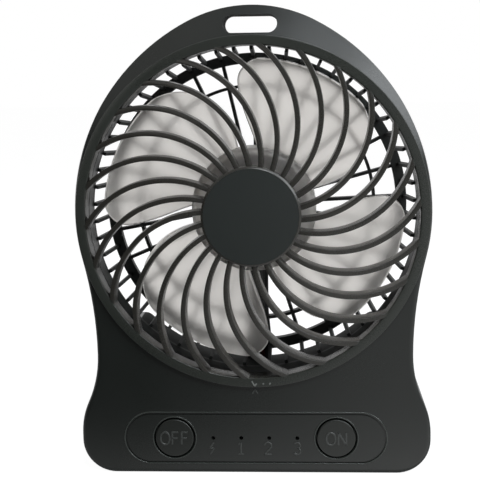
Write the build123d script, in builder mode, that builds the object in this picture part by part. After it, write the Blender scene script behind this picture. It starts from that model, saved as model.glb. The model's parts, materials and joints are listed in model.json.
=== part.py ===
"""Small rechargeable desk fan as separate pieces with real fits.

Millimetres. +Z is up, the front faces -Y, and the origin is on the floor under the middle of the base.
Depths are Y values: a smaller Y lies further forward.
"""

import os
from math import asin, atan, cos, degrees, radians, sin

from build123d import *

os.makedirs("parts", exist_ok=True)

# Outline seen from the front
head_radius = 54.0
crown_height = 8.2
arch_step = 12.8
base_room = 27.4
waist_drop_share = 0.811
waist_inset = 5.5
flare_gain = 5.45
base_full_height = 12.7
base_corner = 10.5
flare_hollow_share = 0.6

# Depths from front to back
hub_face_y = -20.0
ring_front_y = -14.5
base_front_y = -13.0
seam_y = -1.5
flange_back_y = 1.5
cage_back_y = 17.0
base_back_y = 20.0

# Shells
wall = 2.0
duct_wall = 2.0
edge_round = 1.5
back_round = 1.8
seam_chamfer = 0.3
shoulder_drop = 5.0
block_rise = 6.8
block_round = 3.0

# Carry slot through the top
slot_width = 16.2
slot_height = 5.4
slot_gap = 0.5
slot_wall = 1.6

# Front grille
ring_margin = 0.7
ring_width = 3.0
ring_round = 0.25
skirt_wall = 1.2
skirt_end_y = -8.5
twist_clearance = 0.3
bar_count = 26
bar_width = 1.6
bar_depth = 3.6
bar_curve_share = 0.815
bar_root_lean = 5.3
bar_root_angle = 9.0
bar_arc = 96.0
dome_edge_y = -18.6
dome_middle_y = -18.3
dome_rim_y = -14.45
hub_radius = 14.9
hub_depth = 5.0
hub_wall = 1.6
hub_bevel = 0.4
plate_radius = 14.2
plate_thickness = 0.8

# Twist lock of the front grille
lug_count = 4
lug_angle = 10.0
lug_height = 1.0
lug_thickness = 1.6
lug_slack = 1.0
twist_angle = 12.0
lug_first_angle = 45.0

# Control panel
panel_side = 13.95
panel_height = 15.3
panel_z = 11.4
groove_width = 0.5
groove_depth = 0.35
button_inset = 15.0
button_radius = 5.95
button_gap = 0.3
button_proud = 0.3
button_travel = 0.5
button_flange = 1.3
button_flange_thickness = 0.9
button_round = 0.4
button_hole_bevel = 0.5
led_count = 4
led_pitch_share = 0.346
led_hole_radius = 0.6
led_radius = 1.5
led_round = 1.35

# Circuit board and what it carries
board_front_y = -6.6
board_thickness = 1.2
board_left_gap = 12.95
board_right_gap = 11.95
board_bottom = 4.5
board_top = 25.6
tail_gap = 3.4
tail_bottom = 6.5
tail_top = 18.5
board_screw_inset = 6.0
board_screw_z = 21.0
switch_size = 6.0
switch_height = 2.4
plunger_radius = 1.5
plunger_gap = 0.25
plunger_slack = 0.1
plunger_length = 2.0
led_gap = 0.4
chip_height = 1.3
chip_z = 12.0
regulator_x = -12.0
regulator_width = 5.0
coil_x = 4.0
coil_width = 6.0
capacitor_x = 16.0
capacitor_width = 3.2

# Charging socket in the right side wall
socket_width = 7.5
socket_height = 2.6
socket_length = 6.0
socket_skin = 0.35
socket_set_back = 0.4
socket_gap = 0.3
socket_z = 12.5

# Cell, its bay and the door
cell_radius = 9.1
cell_length = 65.2
cell_nub_radius = 3.0
cell_nub_length = 1.0
bay_gap = 0.2
bay_floor = 3.2
bay_wall = 1.2
bay_half_length = 37.0
cell_y = 8.4
door_thickness = 1.6
door_margin = 1.0
door_gap = 0.3
door_corner = 2.0
grip_count = 5
grip_pitch = 1.8
contact_thickness = 0.4
contact_height = 7.0

# Rear cage
cage_flange_overlap = 1.9
cage_fit = 0.15
cage_flange_thickness = 1.5
cage_step = 0.7
cage_taper = 2.5
cage_shell = 1.7
rib_count = 57
rib_first_angle = 274.8
rib_spread = 350.9
rib_width = 1.0
ring_depth = 3.5
thick_ring_width = 3.3
thin_ring_step = 7.1
thin_ring_width = 1.0
spoke_count = 29
spoke_width = 1.0
spoke_depth = 3.0
cage_clearance = 1.0
arm_width = 7.0
arm_gap = 0.3
channel_width = 5.0
channel_depth = 2.2
cover_thickness = 0.7
cover_fit = 0.1

# Motor and its pod
can_radius = 12.2
can_front_y = 1.5
can_length = 10.5
can_wall = 0.8
end_cap_thickness = 1.4
pod_fit = 0.2
pod_wall = 1.8
pod_floor = 1.8
pod_disc_radius = 17.4
motor_screw_count = 3
motor_screw_circle = 15.0
motor_screw_angle = 90.0
pod_boss_radius = 2.0
retainer_thickness = 1.1
retainer_hole = 5.0
shaft_radius = 1.0
shaft_front_y = -3.0
shaft_back_y = 14.0
bush_radius = 2.6
bush_length = 2.2
bush_running_gap = 0.05
magnet_thickness = 1.8
magnet_arc = 120.0
core_radius = 8.9
core_length = 5.0
pole_count = 3
pole_gap = 16.0
pole_neck = 3.0
pole_shoe = 1.6
winding_gap = 0.3
commutator_radius = 2.2
commutator_length = 1.6
terminal_x = 1.6
terminal_drop = 8.0
terminal_width = 1.4
terminal_thickness = 0.5
lead_radius = 0.5
lead_bend = 2.0

# Impeller
tip_gap = 3.5
hub_clearance = 1.0
impeller_front_y = -3.6
impeller_skirt_y = 9.0
impeller_wall = 1.4
impeller_round = 1.2
impeller_boss_radius = 3.2
blade_count = 4
blade_thickness = 1.3
blade_front_y = -3.5
blade_rear_y = 7.9
blade_rear_root_angle = 18.7
blade_rear_middle_angle = 26.2
blade_rear_tip_angle = 40.2
blade_front_root_angle = 86.2
blade_front_middle_angle = 95.7
blade_front_tip_angle = 94.2
blade_corner = 7.0
blade_sections = 7
blade_overrun = 5.0

# Screws
screw_radius = 1.1
screw_head_radius = 2.2
screw_head_height = 1.4
screw_length = 8.0
screw_fit = 0.2
screw_boss = 2.7
screw_well_wall = 1.1
recess_length = 2.2
recess_width = 0.6
recess_depth = 0.6
small_screw_radius = 0.9
small_screw_head = 1.7
small_screw_head_height = 1.2
small_screw_length = 4.0
upper_screw_angle = 68.0
boss_sink = 0.4
lower_screw_inset = 9.6
lower_screw_drop = 6.2
screw_seat_y = 0.0

# Closeness used to pick edges by where they lie
near_enough = 1e-4

# Worked out from the values above, starting with the round head
ring_outer = head_radius - ring_margin
ring_inner = ring_outer - ring_width
skirt_outer = ring_inner + skirt_wall
seat_radius = skirt_outer + twist_clearance
seat_end_y = skirt_end_y + twist_clearance
duct_outer = seat_radius + duct_wall
axis_height = duct_outer + base_room
overall_height = axis_height + head_radius + crown_height
bar_curve_radius = (ring_inner - hub_radius) * bar_curve_share
impeller_radius = ring_inner - tip_gap
impeller_hub_radius = motor_screw_circle + pod_boss_radius + hub_clearance + impeller_wall
arch_radius = head_radius - arch_step
arch_offset = crown_height + arch_step
arch_angle = 90 - 2 * degrees(atan(arch_step / arch_offset))
flank_radius = arch_radius + arch_offset / cos(radians(arch_angle))
waist_drop = head_radius * waist_drop_share
waist_height = axis_height - waist_drop
waist_half_width = head_radius - waist_inset
waist_reach = (waist_drop**2 + waist_inset**2) / (2 * waist_inset)
waist_radius = waist_reach - head_radius
waist_angle = degrees(asin(waist_drop / waist_reach))
base_half_width = waist_half_width + flare_gain
block_top = waist_height + block_rise
flare_drop = waist_height - base_full_height
flare_angle = 2 * degrees(atan(flare_gain / flare_drop))
flare_total = flare_drop / sin(radians(flare_angle))
flare_in_radius = flare_total * flare_hollow_share
flare_out_radius = flare_total - flare_in_radius
lug_pitch = 360 / lug_count
lug_start = lug_first_angle - lug_angle / 2
lug_inner = ring_inner + skirt_wall / 2
lug_outer = skirt_outer + lug_height
lug_front_y = skirt_end_y - lug_thickness
slot_z = axis_height + ring_outer + slot_gap + slot_height / 2
pocket_front_y = base_front_y + shoulder_drop + wall
panel_back_y = base_front_y + wall
panel_width = 2 * (base_half_width - panel_side)
button_x = panel_width / 2 - button_inset
led_pitch = button_x * led_pitch_share
socket_right = base_half_width - socket_set_back
board_left = board_left_gap - base_half_width
board_right = base_half_width - board_right_gap
tail_right = socket_right - tail_gap
board_screw_x = board_right - board_screw_inset
board_back_y = board_front_y + board_thickness
switch_front_y = board_front_y - switch_height
plunger_front_y = switch_front_y - button_travel - plunger_slack
plunger_back_y = plunger_front_y + plunger_length
bay_front_y = cell_y - cell_radius - bay_gap
bay_ceiling = bay_floor + 2 * (cell_radius + bay_gap)
cell_z = bay_floor + bay_gap + cell_radius
cage_flange_radius = ring_inner + cage_flange_overlap
cage_top_radius = ring_inner + cage_step
cage_end_radius = cage_top_radius - cage_taper
thick_ring_inner = cage_end_radius - thick_ring_width
thin_ring_radius = thick_ring_inner - thin_ring_step
cage_seat_radius = cage_flange_radius + cage_fit
cage_lip_radius = cage_top_radius + cage_fit
cage_flange_back_y = seam_y + cage_flange_thickness
cage_ring_front_y = cage_back_y - ring_depth
arch_inner = cage_top_radius + cage_clearance
can_back_y = can_front_y + can_length
end_cap_back_y = can_back_y + end_cap_thickness
pod_floor_y = cage_back_y - pod_floor
pod_inner = can_radius + pod_fit
pod_outer = pod_inner + pod_wall
channel_floor_y = cage_ring_front_y + channel_depth
lead_y = channel_floor_y - lead_radius - cover_fit
lead_z = (bay_ceiling + bay_wall + axis_height - duct_outer) / 2
upper_screw_circle = duct_outer + screw_boss - boss_sink
upper_screw_x = upper_screw_circle * cos(radians(upper_screw_angle))
upper_screw_z = upper_screw_circle * sin(radians(upper_screw_angle)) + axis_height
lower_screw_x = waist_half_width - lower_screw_inset
lower_screw_z = waist_height - lower_screw_drop
screw_points = [
    (upper_screw_x, upper_screw_z),
    (-upper_screw_x, upper_screw_z),
    (lower_screw_x, lower_screw_z),
    (-lower_screw_x, lower_screw_z),
]
board_screw_points = [(board_screw_x, board_screw_z), (-board_screw_x, board_screw_z)]
led_points = [((i - (led_count - 1) / 2) * led_pitch, panel_z) for i in range(led_count)]
button_points = [(button_x, panel_z), (-button_x, panel_z)]
motor_screw_angles = [motor_screw_angle + k * 360 / motor_screw_count for k in range(motor_screw_count)]
motor_screw_points = [
    (motor_screw_circle * cos(radians(a)), axis_height + motor_screw_circle * sin(radians(a)))
    for a in motor_screw_angles
]
retainer_front_y = can_front_y - retainer_thickness
magnet_outer = can_radius - can_wall
magnet_inner = magnet_outer - magnet_thickness
core_front_y = (can_front_y + can_back_y - core_length) / 2
terminal_z = axis_height - terminal_drop

radial_plane = Plane(origin=(0, 0, axis_height), x_dir=(1, 0, 0), z_dir=(0, 0, 1))
fan_axis = Axis((0, 0, axis_height), (0, -1, 0))


def depth_plane(y):
    """Plane at depth y facing the front: x to the right, y up from the floor."""
    return Plane(origin=(0, y, 0), x_dir=(1, 0, 0), z_dir=(0, -1, 0))


def axis_plane(y):
    """The same plane with its origin on the fan axis."""
    return Plane(origin=(0, y, axis_height), x_dir=(1, 0, 0), z_dir=(0, -1, 0))


def polar(radius, angle):
    """Point at a radius and an angle in degrees, counted from +x."""
    return (radius * cos(radians(angle)), radius * sin(radians(angle)))


def sector(start, size, inner, outer):
    """Ring sector from a start angle over a size in degrees, added to the current sketch."""
    with BuildSketch(mode=Mode.PRIVATE) as piece:
        with BuildLine():
            far = CenterArc((0, 0), outer, start, size)
            near = CenterArc((0, 0), inner, start, size)
            Line(far @ 0, near @ 0)
            Line(far @ 1, near @ 1)
        make_face()
    add(piece.sketch_local)


def save(piece, name):
    """Label a finished piece and write its STEP file."""
    piece.part.label = name
    export_step(piece.part, "parts/" + name + ".step")


def screw_set(points, seat_y, length, radius, head_radius, head_height, forward):
    """Cross-head screws at the given points, heads at the back when they run forward."""
    way = 1 if forward else -1
    with BuildPart() as screws:
        with BuildSketch(depth_plane(seat_y)):
            with Locations(*points):
                Circle(radius)
        extrude(amount=way * length)
        with BuildSketch(depth_plane(seat_y)):
            with Locations(*points):
                Circle(head_radius)
        extrude(amount=-way * head_height)
        with BuildSketch(depth_plane(seat_y + way * head_height)):
            with Locations(*points):
                Rectangle(recess_length, recess_width)
                Rectangle(recess_width, recess_length)
        extrude(amount=way * recess_depth, mode=Mode.SUBTRACT)
    return screws


# Body outline drawn once, x to the right and y up from the floor
with BuildSketch() as body_outline:
    with BuildLine():
        arch = JernArc((0, overall_height), (1, 0), arch_radius, -arch_angle)
        flank = JernArc(arch @ 1, arch % 1, flank_radius, arch_angle - 90)
        head_side = JernArc(flank @ 1, flank % 1, head_radius, -waist_angle)
        waist = JernArc(head_side @ 1, head_side % 1, waist_radius, waist_angle)
        flare_in = JernArc(waist @ 1, waist % 1, flare_in_radius, flare_angle)
        flare_out = JernArc(flare_in @ 1, flare_in % 1, flare_out_radius, -flare_angle)
        side = Line(flare_out @ 1, (base_half_width, base_corner))
        corner = JernArc(side @ 1, (0, -1), base_corner, -90)
        Line(corner @ 1, (0, 0))
        mirror(about=Plane.YZ)
    make_face()

# One grille bar, drawn with its root on the x axis
with BuildSketch() as bar_strip:
    with BuildLine():
        lean = (cos(radians(bar_root_lean)), sin(radians(bar_root_lean)))
        side_step = Vector(-lean[1], lean[0]) * bar_width / 2
        root = Vector(hub_radius - hub_wall / 2, 0)
        left_edge = JernArc(root + side_step, lean, bar_curve_radius - bar_width / 2, bar_arc)
        right_edge = JernArc(root - side_step, lean, bar_curve_radius + bar_width / 2, bar_arc)
        Line(left_edge @ 0, right_edge @ 0)
        Line(left_edge @ 1, right_edge @ 1)
    make_face()

# Hollow of the base, inside the walls and below the round duct
with BuildSketch() as base_hollow:
    add(body_outline.sketch_local)
    offset(amount=-wall)
    with Locations((0, axis_height)):
        Circle(duct_outer, mode=Mode.SUBTRACT)
        Rectangle(4 * head_radius, 2 * overall_height, align=(Align.CENTER, Align.MIN), mode=Mode.SUBTRACT)

# Hollow of the head, either side of the carry slot
with BuildSketch() as head_hollow:
    add(body_outline.sketch_local)
    offset(amount=-wall)
    with Locations((0, axis_height)):
        Circle(duct_outer, mode=Mode.SUBTRACT)
        Rectangle(4 * head_radius, 2 * overall_height, align=(Align.CENTER, Align.MAX), mode=Mode.SUBTRACT)
    with Locations((0, slot_z)):
        Rectangle(slot_width + 2 * slot_wall, slot_height + 4 * slot_wall, mode=Mode.SUBTRACT)

# Front half of the casing
with BuildPart() as front_housing:
    with BuildSketch(depth_plane(seam_y)):
        add(body_outline.sketch_local)
    extrude(amount=seam_y - base_front_y)
    fillet(faces().sort_by(Axis.Y)[0].edges(), edge_round)
    chamfer(faces().sort_by(Axis.Y)[-1].edges(), seam_chamfer)
    with BuildSketch(radial_plane):
        with BuildLine():
            slope = Line(
                (ring_outer, base_front_y),
                (overall_height - axis_height, base_front_y + shoulder_drop),
            )
            Polyline(
                slope @ 1,
                (2 * head_radius, base_front_y + shoulder_drop),
                (2 * head_radius, hub_face_y),
                (ring_outer, hub_face_y),
                slope @ 0,
            )
        make_face()
    revolve(axis=fan_axis, revolution_arc=180, mode=Mode.SUBTRACT)
    with BuildSketch(depth_plane(seam_y)):
        add(base_hollow.sketch_local)
    extrude(amount=seam_y - panel_back_y, mode=Mode.SUBTRACT)
    with BuildSketch(depth_plane(seam_y)):
        add(head_hollow.sketch_local)
    extrude(amount=seam_y - pocket_front_y, mode=Mode.SUBTRACT)
    with BuildSketch(axis_plane(seam_y)):
        Circle(ring_inner)
    extrude(amount=seam_y - base_front_y, mode=Mode.SUBTRACT)
    with BuildSketch(axis_plane(seat_end_y)):
        Circle(seat_radius)
    extrude(amount=seat_end_y - base_front_y, mode=Mode.SUBTRACT)
    with BuildSketch(depth_plane(seam_y)):
        with Locations((0, slot_z)):
            SlotOverall(slot_width, slot_height)
    extrude(amount=seam_y - hub_face_y, mode=Mode.SUBTRACT)
    with BuildSketch(depth_plane(panel_back_y)):
        with Locations(*button_points):
            Circle(button_radius + button_gap)
        with Locations(*led_points):
            Circle(led_hole_radius)
    extrude(amount=wall, mode=Mode.SUBTRACT)
    rims = edges().filter_by(GeomType.CIRCLE).filter_by(
        lambda e: abs(e.radius - button_radius - button_gap) < near_enough
        and abs(e.center().Y - base_front_y) < near_enough
    )
    chamfer(rims, button_hole_bevel)
    with BuildSketch(depth_plane(base_front_y)):
        with Locations((0, panel_z)):
            SlotOverall(panel_width + groove_width, panel_height + groove_width)
            SlotOverall(panel_width - groove_width, panel_height - groove_width, mode=Mode.SUBTRACT)
    extrude(amount=-groove_depth, mode=Mode.SUBTRACT)
    # Posts for the casing screws and the board
    with BuildSketch(depth_plane(seam_y)):
        with Locations(*screw_points):
            Circle(screw_boss)
    extrude(amount=seam_y - pocket_front_y + wall)
    with BuildSketch(depth_plane(panel_back_y)):
        with Locations(*screw_points[2:]):
            Circle(screw_boss)
    extrude(amount=panel_back_y - pocket_front_y)
    with BuildSketch(depth_plane(board_front_y)):
        with Locations(*board_screw_points):
            Circle(screw_boss)
    extrude(amount=board_front_y - panel_back_y)
    with BuildSketch(depth_plane(seam_y)):
        with Locations(*screw_points):
            Circle(screw_radius)
    extrude(amount=screw_length - screw_seat_y + seam_y + screw_fit, mode=Mode.SUBTRACT)
    with BuildSketch(depth_plane(board_front_y)):
        with Locations(*board_screw_points):
            Circle(small_screw_radius)
    extrude(amount=small_screw_length - board_thickness + screw_fit, mode=Mode.SUBTRACT)
    # Slots of the twist lock: a turning slot and a way in from the front
    with BuildSketch(axis_plane(seat_end_y)):
        for k in range(lug_count):
            sector(lug_start + k * lug_pitch - lug_slack, lug_angle + twist_angle + 2 * lug_slack,
                   lug_inner, lug_outer + twist_clearance)
    extrude(amount=seat_end_y - lug_front_y + twist_clearance, mode=Mode.SUBTRACT)
    with BuildSketch(axis_plane(seat_end_y)):
        for k in range(lug_count):
            sector(lug_start + k * lug_pitch + twist_angle - lug_slack, lug_angle + 2 * lug_slack,
                   lug_inner, lug_outer + twist_clearance)
    extrude(amount=seat_end_y - base_front_y, mode=Mode.SUBTRACT)
    # Opening for the charging socket
    with BuildSketch(Plane.YZ.offset(base_half_width + wall)):
        with Locations((board_back_y + socket_height / 2, socket_z)):
            Rectangle(socket_height + 2 * socket_gap, socket_width + 2 * socket_gap)
    extrude(amount=-3 * wall, mode=Mode.SUBTRACT)
save(front_housing, "front_housing")

# Rear half of the casing with the cell bay
with BuildPart() as rear_housing:
    with BuildSketch(depth_plane(flange_back_y)):
        add(body_outline.sketch_local)
    extrude(amount=flange_back_y - seam_y)
    chamfer(faces().sort_by(Axis.Y)[0].edges(), seam_chamfer)
    fillet(faces().sort_by(Axis.Y)[-1].edges(), edge_round)
    with BuildSketch(depth_plane(base_back_y)):
        add(body_outline.sketch_local)
        with Locations((0, block_top)):
            Rectangle(4 * head_radius, overall_height, align=(Align.CENTER, Align.MIN), mode=Mode.SUBTRACT)
        with Locations((0, axis_height)):
            Circle(arch_inner, mode=Mode.SUBTRACT)
        fillet(vertices().group_by(Axis.Y)[-1], block_round)
    extrude(amount=base_back_y - flange_back_y + edge_round)
    fillet(faces().sort_by(Axis.Y)[-1].edges(), back_round)
    with BuildSketch(depth_plane(base_back_y - wall)):
        add(base_hollow.sketch_local)
        with Locations((0, block_top - wall)):
            Rectangle(4 * head_radius, overall_height, align=(Align.CENTER, Align.MIN), mode=Mode.SUBTRACT)
    extrude(amount=base_back_y - wall - seam_y, mode=Mode.SUBTRACT)
    # Seat of the rear cage
    with BuildSketch(axis_plane(flange_back_y)):
        Circle(cage_lip_radius)
    extrude(amount=flange_back_y - seam_y, mode=Mode.SUBTRACT)
    with BuildSketch(axis_plane(cage_flange_back_y)):
        Circle(cage_seat_radius)
    extrude(amount=cage_flange_back_y - seam_y, mode=Mode.SUBTRACT)
    with BuildSketch(depth_plane(flange_back_y)):
        with Locations((0, slot_z)):
            SlotOverall(slot_width, slot_height)
    extrude(amount=flange_back_y - seam_y, mode=Mode.SUBTRACT)
    # Wells and holes of the casing screws
    with BuildSketch(depth_plane(base_back_y - wall)):
        with Locations(*screw_points[2:]):
            Circle(screw_head_radius + screw_fit + screw_well_wall)
    extrude(amount=base_back_y - wall - seam_y)
    with BuildSketch(depth_plane(seam_y)):
        with Locations(*screw_points):
            Circle(screw_radius + screw_fit)
    extrude(amount=seam_y - screw_seat_y, mode=Mode.SUBTRACT)
    with BuildSketch(depth_plane(base_back_y)):
        with Locations(*screw_points):
            Circle(screw_head_radius + screw_fit)
    extrude(amount=base_back_y - screw_seat_y, mode=Mode.SUBTRACT)
    # Cell bay, open at the back
    with BuildSketch(depth_plane(base_back_y - wall)):
        with Locations((0, (bay_floor + bay_ceiling) / 2)):
            Rectangle(2 * (bay_half_length + bay_wall), bay_ceiling - bay_floor + 2 * (bay_wall - bay_gap))
    extrude(amount=base_back_y - wall - bay_front_y + bay_wall)
    with BuildSketch(depth_plane(base_back_y)):
        with Locations((0, (bay_floor + bay_ceiling) / 2)):
            Rectangle(2 * bay_half_length, bay_ceiling - bay_floor)
    extrude(amount=base_back_y - bay_front_y, mode=Mode.SUBTRACT)
    with BuildSketch(depth_plane(base_back_y)):
        with Locations((0, (bay_floor + bay_ceiling) / 2)):
            RectangleRounded(2 * (bay_half_length + door_margin),
                             bay_ceiling - bay_floor + 2 * door_margin, door_corner)
    extrude(amount=door_thickness, mode=Mode.SUBTRACT)
    # Ways through for the contact tails and the motor leads
    with BuildSketch(depth_plane(bay_front_y)):
        with Locations((bay_half_length, cell_z), (-bay_half_length, cell_z)):
            Rectangle(4 * contact_thickness, contact_height + 2 * bay_gap)
    extrude(amount=bay_wall, mode=Mode.SUBTRACT)
    with BuildSketch(depth_plane(channel_floor_y)):
        with Locations((0, axis_height - duct_outer)):
            Rectangle(channel_width, 3 * duct_wall)
    extrude(amount=channel_depth, mode=Mode.SUBTRACT)
save(rear_housing, "rear_housing")

# Front grille: ring with a skirt, swept bars and the hub, in one moulding
with BuildPart() as front_grille:
    with BuildSketch(radial_plane):
        with BuildLine():
            dome = ThreePointArc(
                (hub_radius - hub_wall, dome_edge_y),
                ((hub_radius + ring_inner) / 2, dome_middle_y),
                (ring_inner + skirt_wall / 2, dome_rim_y),
            )
            under = ThreePointArc(
                (hub_radius - hub_wall, dome_edge_y + bar_depth),
                ((hub_radius + ring_inner) / 2, dome_middle_y + bar_depth),
                (ring_inner + skirt_wall / 2, dome_rim_y + bar_depth),
            )
            Line(dome @ 0, under @ 0)
            Line(dome @ 1, under @ 1)
        make_face()
    revolve(axis=fan_axis)
    with BuildSketch(axis_plane(skirt_end_y)):
        with PolarLocations(0, bar_count, bar_root_angle):
            add(bar_strip.sketch_local)
    extrude(amount=skirt_end_y - hub_face_y, mode=Mode.INTERSECT)
    with BuildSketch(radial_plane):
        with BuildLine():
            Polyline(
                (0, hub_face_y),
                (hub_radius - hub_bevel, hub_face_y),
                (hub_radius, hub_face_y + hub_bevel),
                (hub_radius, hub_face_y + hub_depth),
                (hub_radius - hub_wall, hub_face_y + hub_depth),
                (hub_radius - hub_wall, hub_face_y + plate_thickness + hub_wall),
                (0, hub_face_y + plate_thickness + hub_wall),
                close=True,
            )
        make_face()
    revolve(axis=fan_axis)
    with BuildSketch(axis_plane(hub_face_y)):
        Circle(plate_radius)
    extrude(amount=-plate_thickness, mode=Mode.SUBTRACT)
    with BuildSketch(radial_plane):
        with BuildLine():
            Polyline(
                (ring_inner, ring_front_y + ring_round),
                (ring_inner + ring_round, ring_front_y),
                (ring_outer - ring_round, ring_front_y),
                (ring_outer, ring_front_y + ring_round),
                (ring_outer, base_front_y),
                (skirt_outer, base_front_y),
                (skirt_outer, skirt_end_y),
                (ring_inner, skirt_end_y),
                close=True,
            )
        make_face()
    revolve(axis=fan_axis)
    with BuildSketch(axis_plane(skirt_end_y)):
        for k in range(lug_count):
            sector(lug_start + k * lug_pitch, lug_angle, lug_inner, lug_outer)
    extrude(amount=lug_thickness)
save(front_grille, "front_grille")

# Plain disc set in the face of the hub
with BuildPart() as hub_plate:
    with BuildSketch(axis_plane(hub_face_y + plate_thickness)):
        Circle(plate_radius)
    extrude(amount=plate_thickness)
save(hub_plate, "hub_plate")

# Rear cage: flange, tapered ribs, rings, spokes, motor pod and wire arm
with BuildPart() as rear_cage:
    with BuildSketch(radial_plane):
        with BuildLine():
            Polyline(
                (cage_top_radius, cage_flange_back_y - cage_flange_thickness / 2),
                (cage_end_radius, cage_ring_front_y + ring_depth / 2),
                (cage_end_radius - cage_shell, cage_ring_front_y + ring_depth / 2),
                (cage_top_radius - cage_shell, cage_flange_back_y - cage_flange_thickness / 2),
                close=True,
            )
        make_face()
    revolve(axis=fan_axis)
    with BuildSketch(axis_plane(cage_back_y)):
        with PolarLocations(cage_end_radius, rib_count, rib_first_angle, rib_spread, endpoint=True):
            Rectangle(4 * ring_depth, rib_width)
    extrude(amount=cage_back_y - seam_y, mode=Mode.INTERSECT)
    with BuildSketch(axis_plane(cage_flange_back_y)):
        Circle(cage_flange_radius)
        Circle(ring_inner, mode=Mode.SUBTRACT)
    extrude(amount=cage_flange_thickness)
    with BuildSketch(axis_plane(cage_back_y)):
        Circle(cage_end_radius)
        Circle(thick_ring_inner, mode=Mode.SUBTRACT)
    extrude(amount=ring_depth)
    rear_rims = edges().filter_by(GeomType.CIRCLE).filter_by(
        lambda e: abs(e.center().Y - cage_back_y) < near_enough
    )
    fillet(rear_rims, ring_depth / 4)
    with BuildSketch(axis_plane(cage_back_y)):
        Circle(thin_ring_radius + thin_ring_width / 2)
        Circle(thin_ring_radius - thin_ring_width / 2, mode=Mode.SUBTRACT)
        spoke_middle = (pod_outer + thick_ring_inner) / 2
        with PolarLocations(spoke_middle, spoke_count, rib_first_angle, rib_spread, endpoint=True):
            Rectangle(thick_ring_inner - pod_outer + 2 * spoke_width, spoke_width)
        Circle(pod_disc_radius)
    extrude(amount=spoke_depth)
    with BuildSketch(axis_plane(cage_back_y)):
        Circle(pod_outer)
    extrude(amount=cage_back_y - can_front_y)
    with BuildSketch(depth_plane(cage_back_y)):
        with Locations(*motor_screw_points):
            Circle(pod_boss_radius)
    extrude(amount=cage_back_y - can_front_y)
    with BuildSketch(axis_plane(cage_back_y)):
        with Locations((0, -(pod_inner + arch_inner - arm_gap) / 2)):
            Rectangle(arm_width, arch_inner - arm_gap - pod_inner)
    extrude(amount=ring_depth)
    with BuildSketch(axis_plane(pod_floor_y)):
        Circle(pod_inner)
    extrude(amount=pod_floor_y - can_front_y, mode=Mode.SUBTRACT)
    with BuildSketch(axis_plane(channel_floor_y)):
        with Locations((0, -(terminal_drop - spoke_depth + head_radius) / 2)):
            Rectangle(channel_width, head_radius - terminal_drop + spoke_depth)
    extrude(amount=channel_depth, mode=Mode.SUBTRACT)
    with BuildSketch(depth_plane(can_front_y)):
        with Locations(*motor_screw_points):
            Circle(small_screw_radius)
    extrude(amount=-small_screw_length, mode=Mode.SUBTRACT)
save(rear_cage, "rear_cage")

# Strip that closes the wire channel
with BuildPart() as wire_cover:
    with BuildSketch(axis_plane(cage_ring_front_y + cover_thickness)):
        with Locations((0, -(pod_outer + cage_end_radius) / 2)):
            Rectangle(channel_width - 2 * cover_fit, cage_end_radius - pod_outer)
    extrude(amount=cover_thickness)
save(wire_cover, "wire_cover")

# Motor can with a hole for the front bush
with BuildPart() as motor_can:
    with BuildSketch(axis_plane(can_back_y)):
        Circle(can_radius)
    extrude(amount=can_length)
    with BuildSketch(axis_plane(can_back_y)):
        Circle(magnet_outer)
    extrude(amount=can_length - can_wall, mode=Mode.SUBTRACT)
    with BuildSketch(axis_plane(can_back_y)):
        Circle(bush_radius)
    extrude(amount=can_length, mode=Mode.SUBTRACT)
save(motor_can, "motor_can")

# End cap of the motor
with BuildPart() as motor_end_cap:
    with BuildSketch(axis_plane(end_cap_back_y)):
        Circle(can_radius)
        Circle(bush_radius, mode=Mode.SUBTRACT)
    extrude(amount=end_cap_thickness)
save(motor_end_cap, "motor_end_cap")

# Bushes that carry the shaft
with BuildPart() as motor_bushes:
    with BuildSketch(axis_plane(can_front_y + bush_length - can_wall / 2)):
        Circle(bush_radius)
        Circle(shaft_radius + bush_running_gap, mode=Mode.SUBTRACT)
    extrude(amount=bush_length)
    with BuildSketch(axis_plane(end_cap_back_y + can_wall / 2)):
        Circle(bush_radius)
        Circle(shaft_radius + bush_running_gap, mode=Mode.SUBTRACT)
    extrude(amount=bush_length)
save(motor_bushes, "motor_bushes")

# Magnets inside the can
with BuildPart() as motor_magnets:
    with BuildSketch(axis_plane(can_back_y - can_wall)):
        for k in range(2):
            sector(k * 180 - magnet_arc / 2, magnet_arc, magnet_inner, magnet_outer)
    extrude(amount=can_length - 3 * can_wall)
save(motor_magnets, "motor_magnets")

# Shaft
with BuildPart() as motor_shaft:
    with BuildSketch(axis_plane(shaft_back_y)):
        Circle(shaft_radius)
    extrude(amount=shaft_back_y - shaft_front_y)
save(motor_shaft, "motor_shaft")

# Core with its poles on the shaft
pole_pitch = 360 / pole_count
with BuildPart() as armature_core:
    with BuildSketch(axis_plane(core_front_y + core_length)):
        Circle(pole_neck)
        with PolarLocations(core_radius / 2, pole_count):
            Rectangle(core_radius - pole_shoe, pole_neck)
        for k in range(pole_count):
            sector(k * pole_pitch - (pole_pitch - pole_gap) / 2, pole_pitch - pole_gap,
                   core_radius - pole_shoe, core_radius)
        Circle(shaft_radius, mode=Mode.SUBTRACT)
    extrude(amount=core_length)
save(armature_core, "armature_core")

# One winding on each pole neck
winding_inner = pole_neck + winding_gap
winding_outer = ((core_radius - pole_shoe - winding_gap) ** 2 - pole_neck**2) ** 0.5
winding_length = winding_outer - winding_inner
with BuildPart() as armature_windings:
    with BuildSketch(axis_plane(core_front_y + core_length + can_wall)):
        with PolarLocations((winding_inner + winding_outer) / 2, pole_count):
            Rectangle(winding_length, 2 * pole_neck)
    extrude(amount=core_length + 2 * can_wall)
    with BuildSketch(axis_plane(core_front_y + core_length)):
        with PolarLocations((winding_inner + winding_outer) / 2, pole_count):
            Rectangle(2 * winding_length, pole_neck)
    extrude(amount=core_length, mode=Mode.SUBTRACT)
save(armature_windings, "armature_windings")

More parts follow.
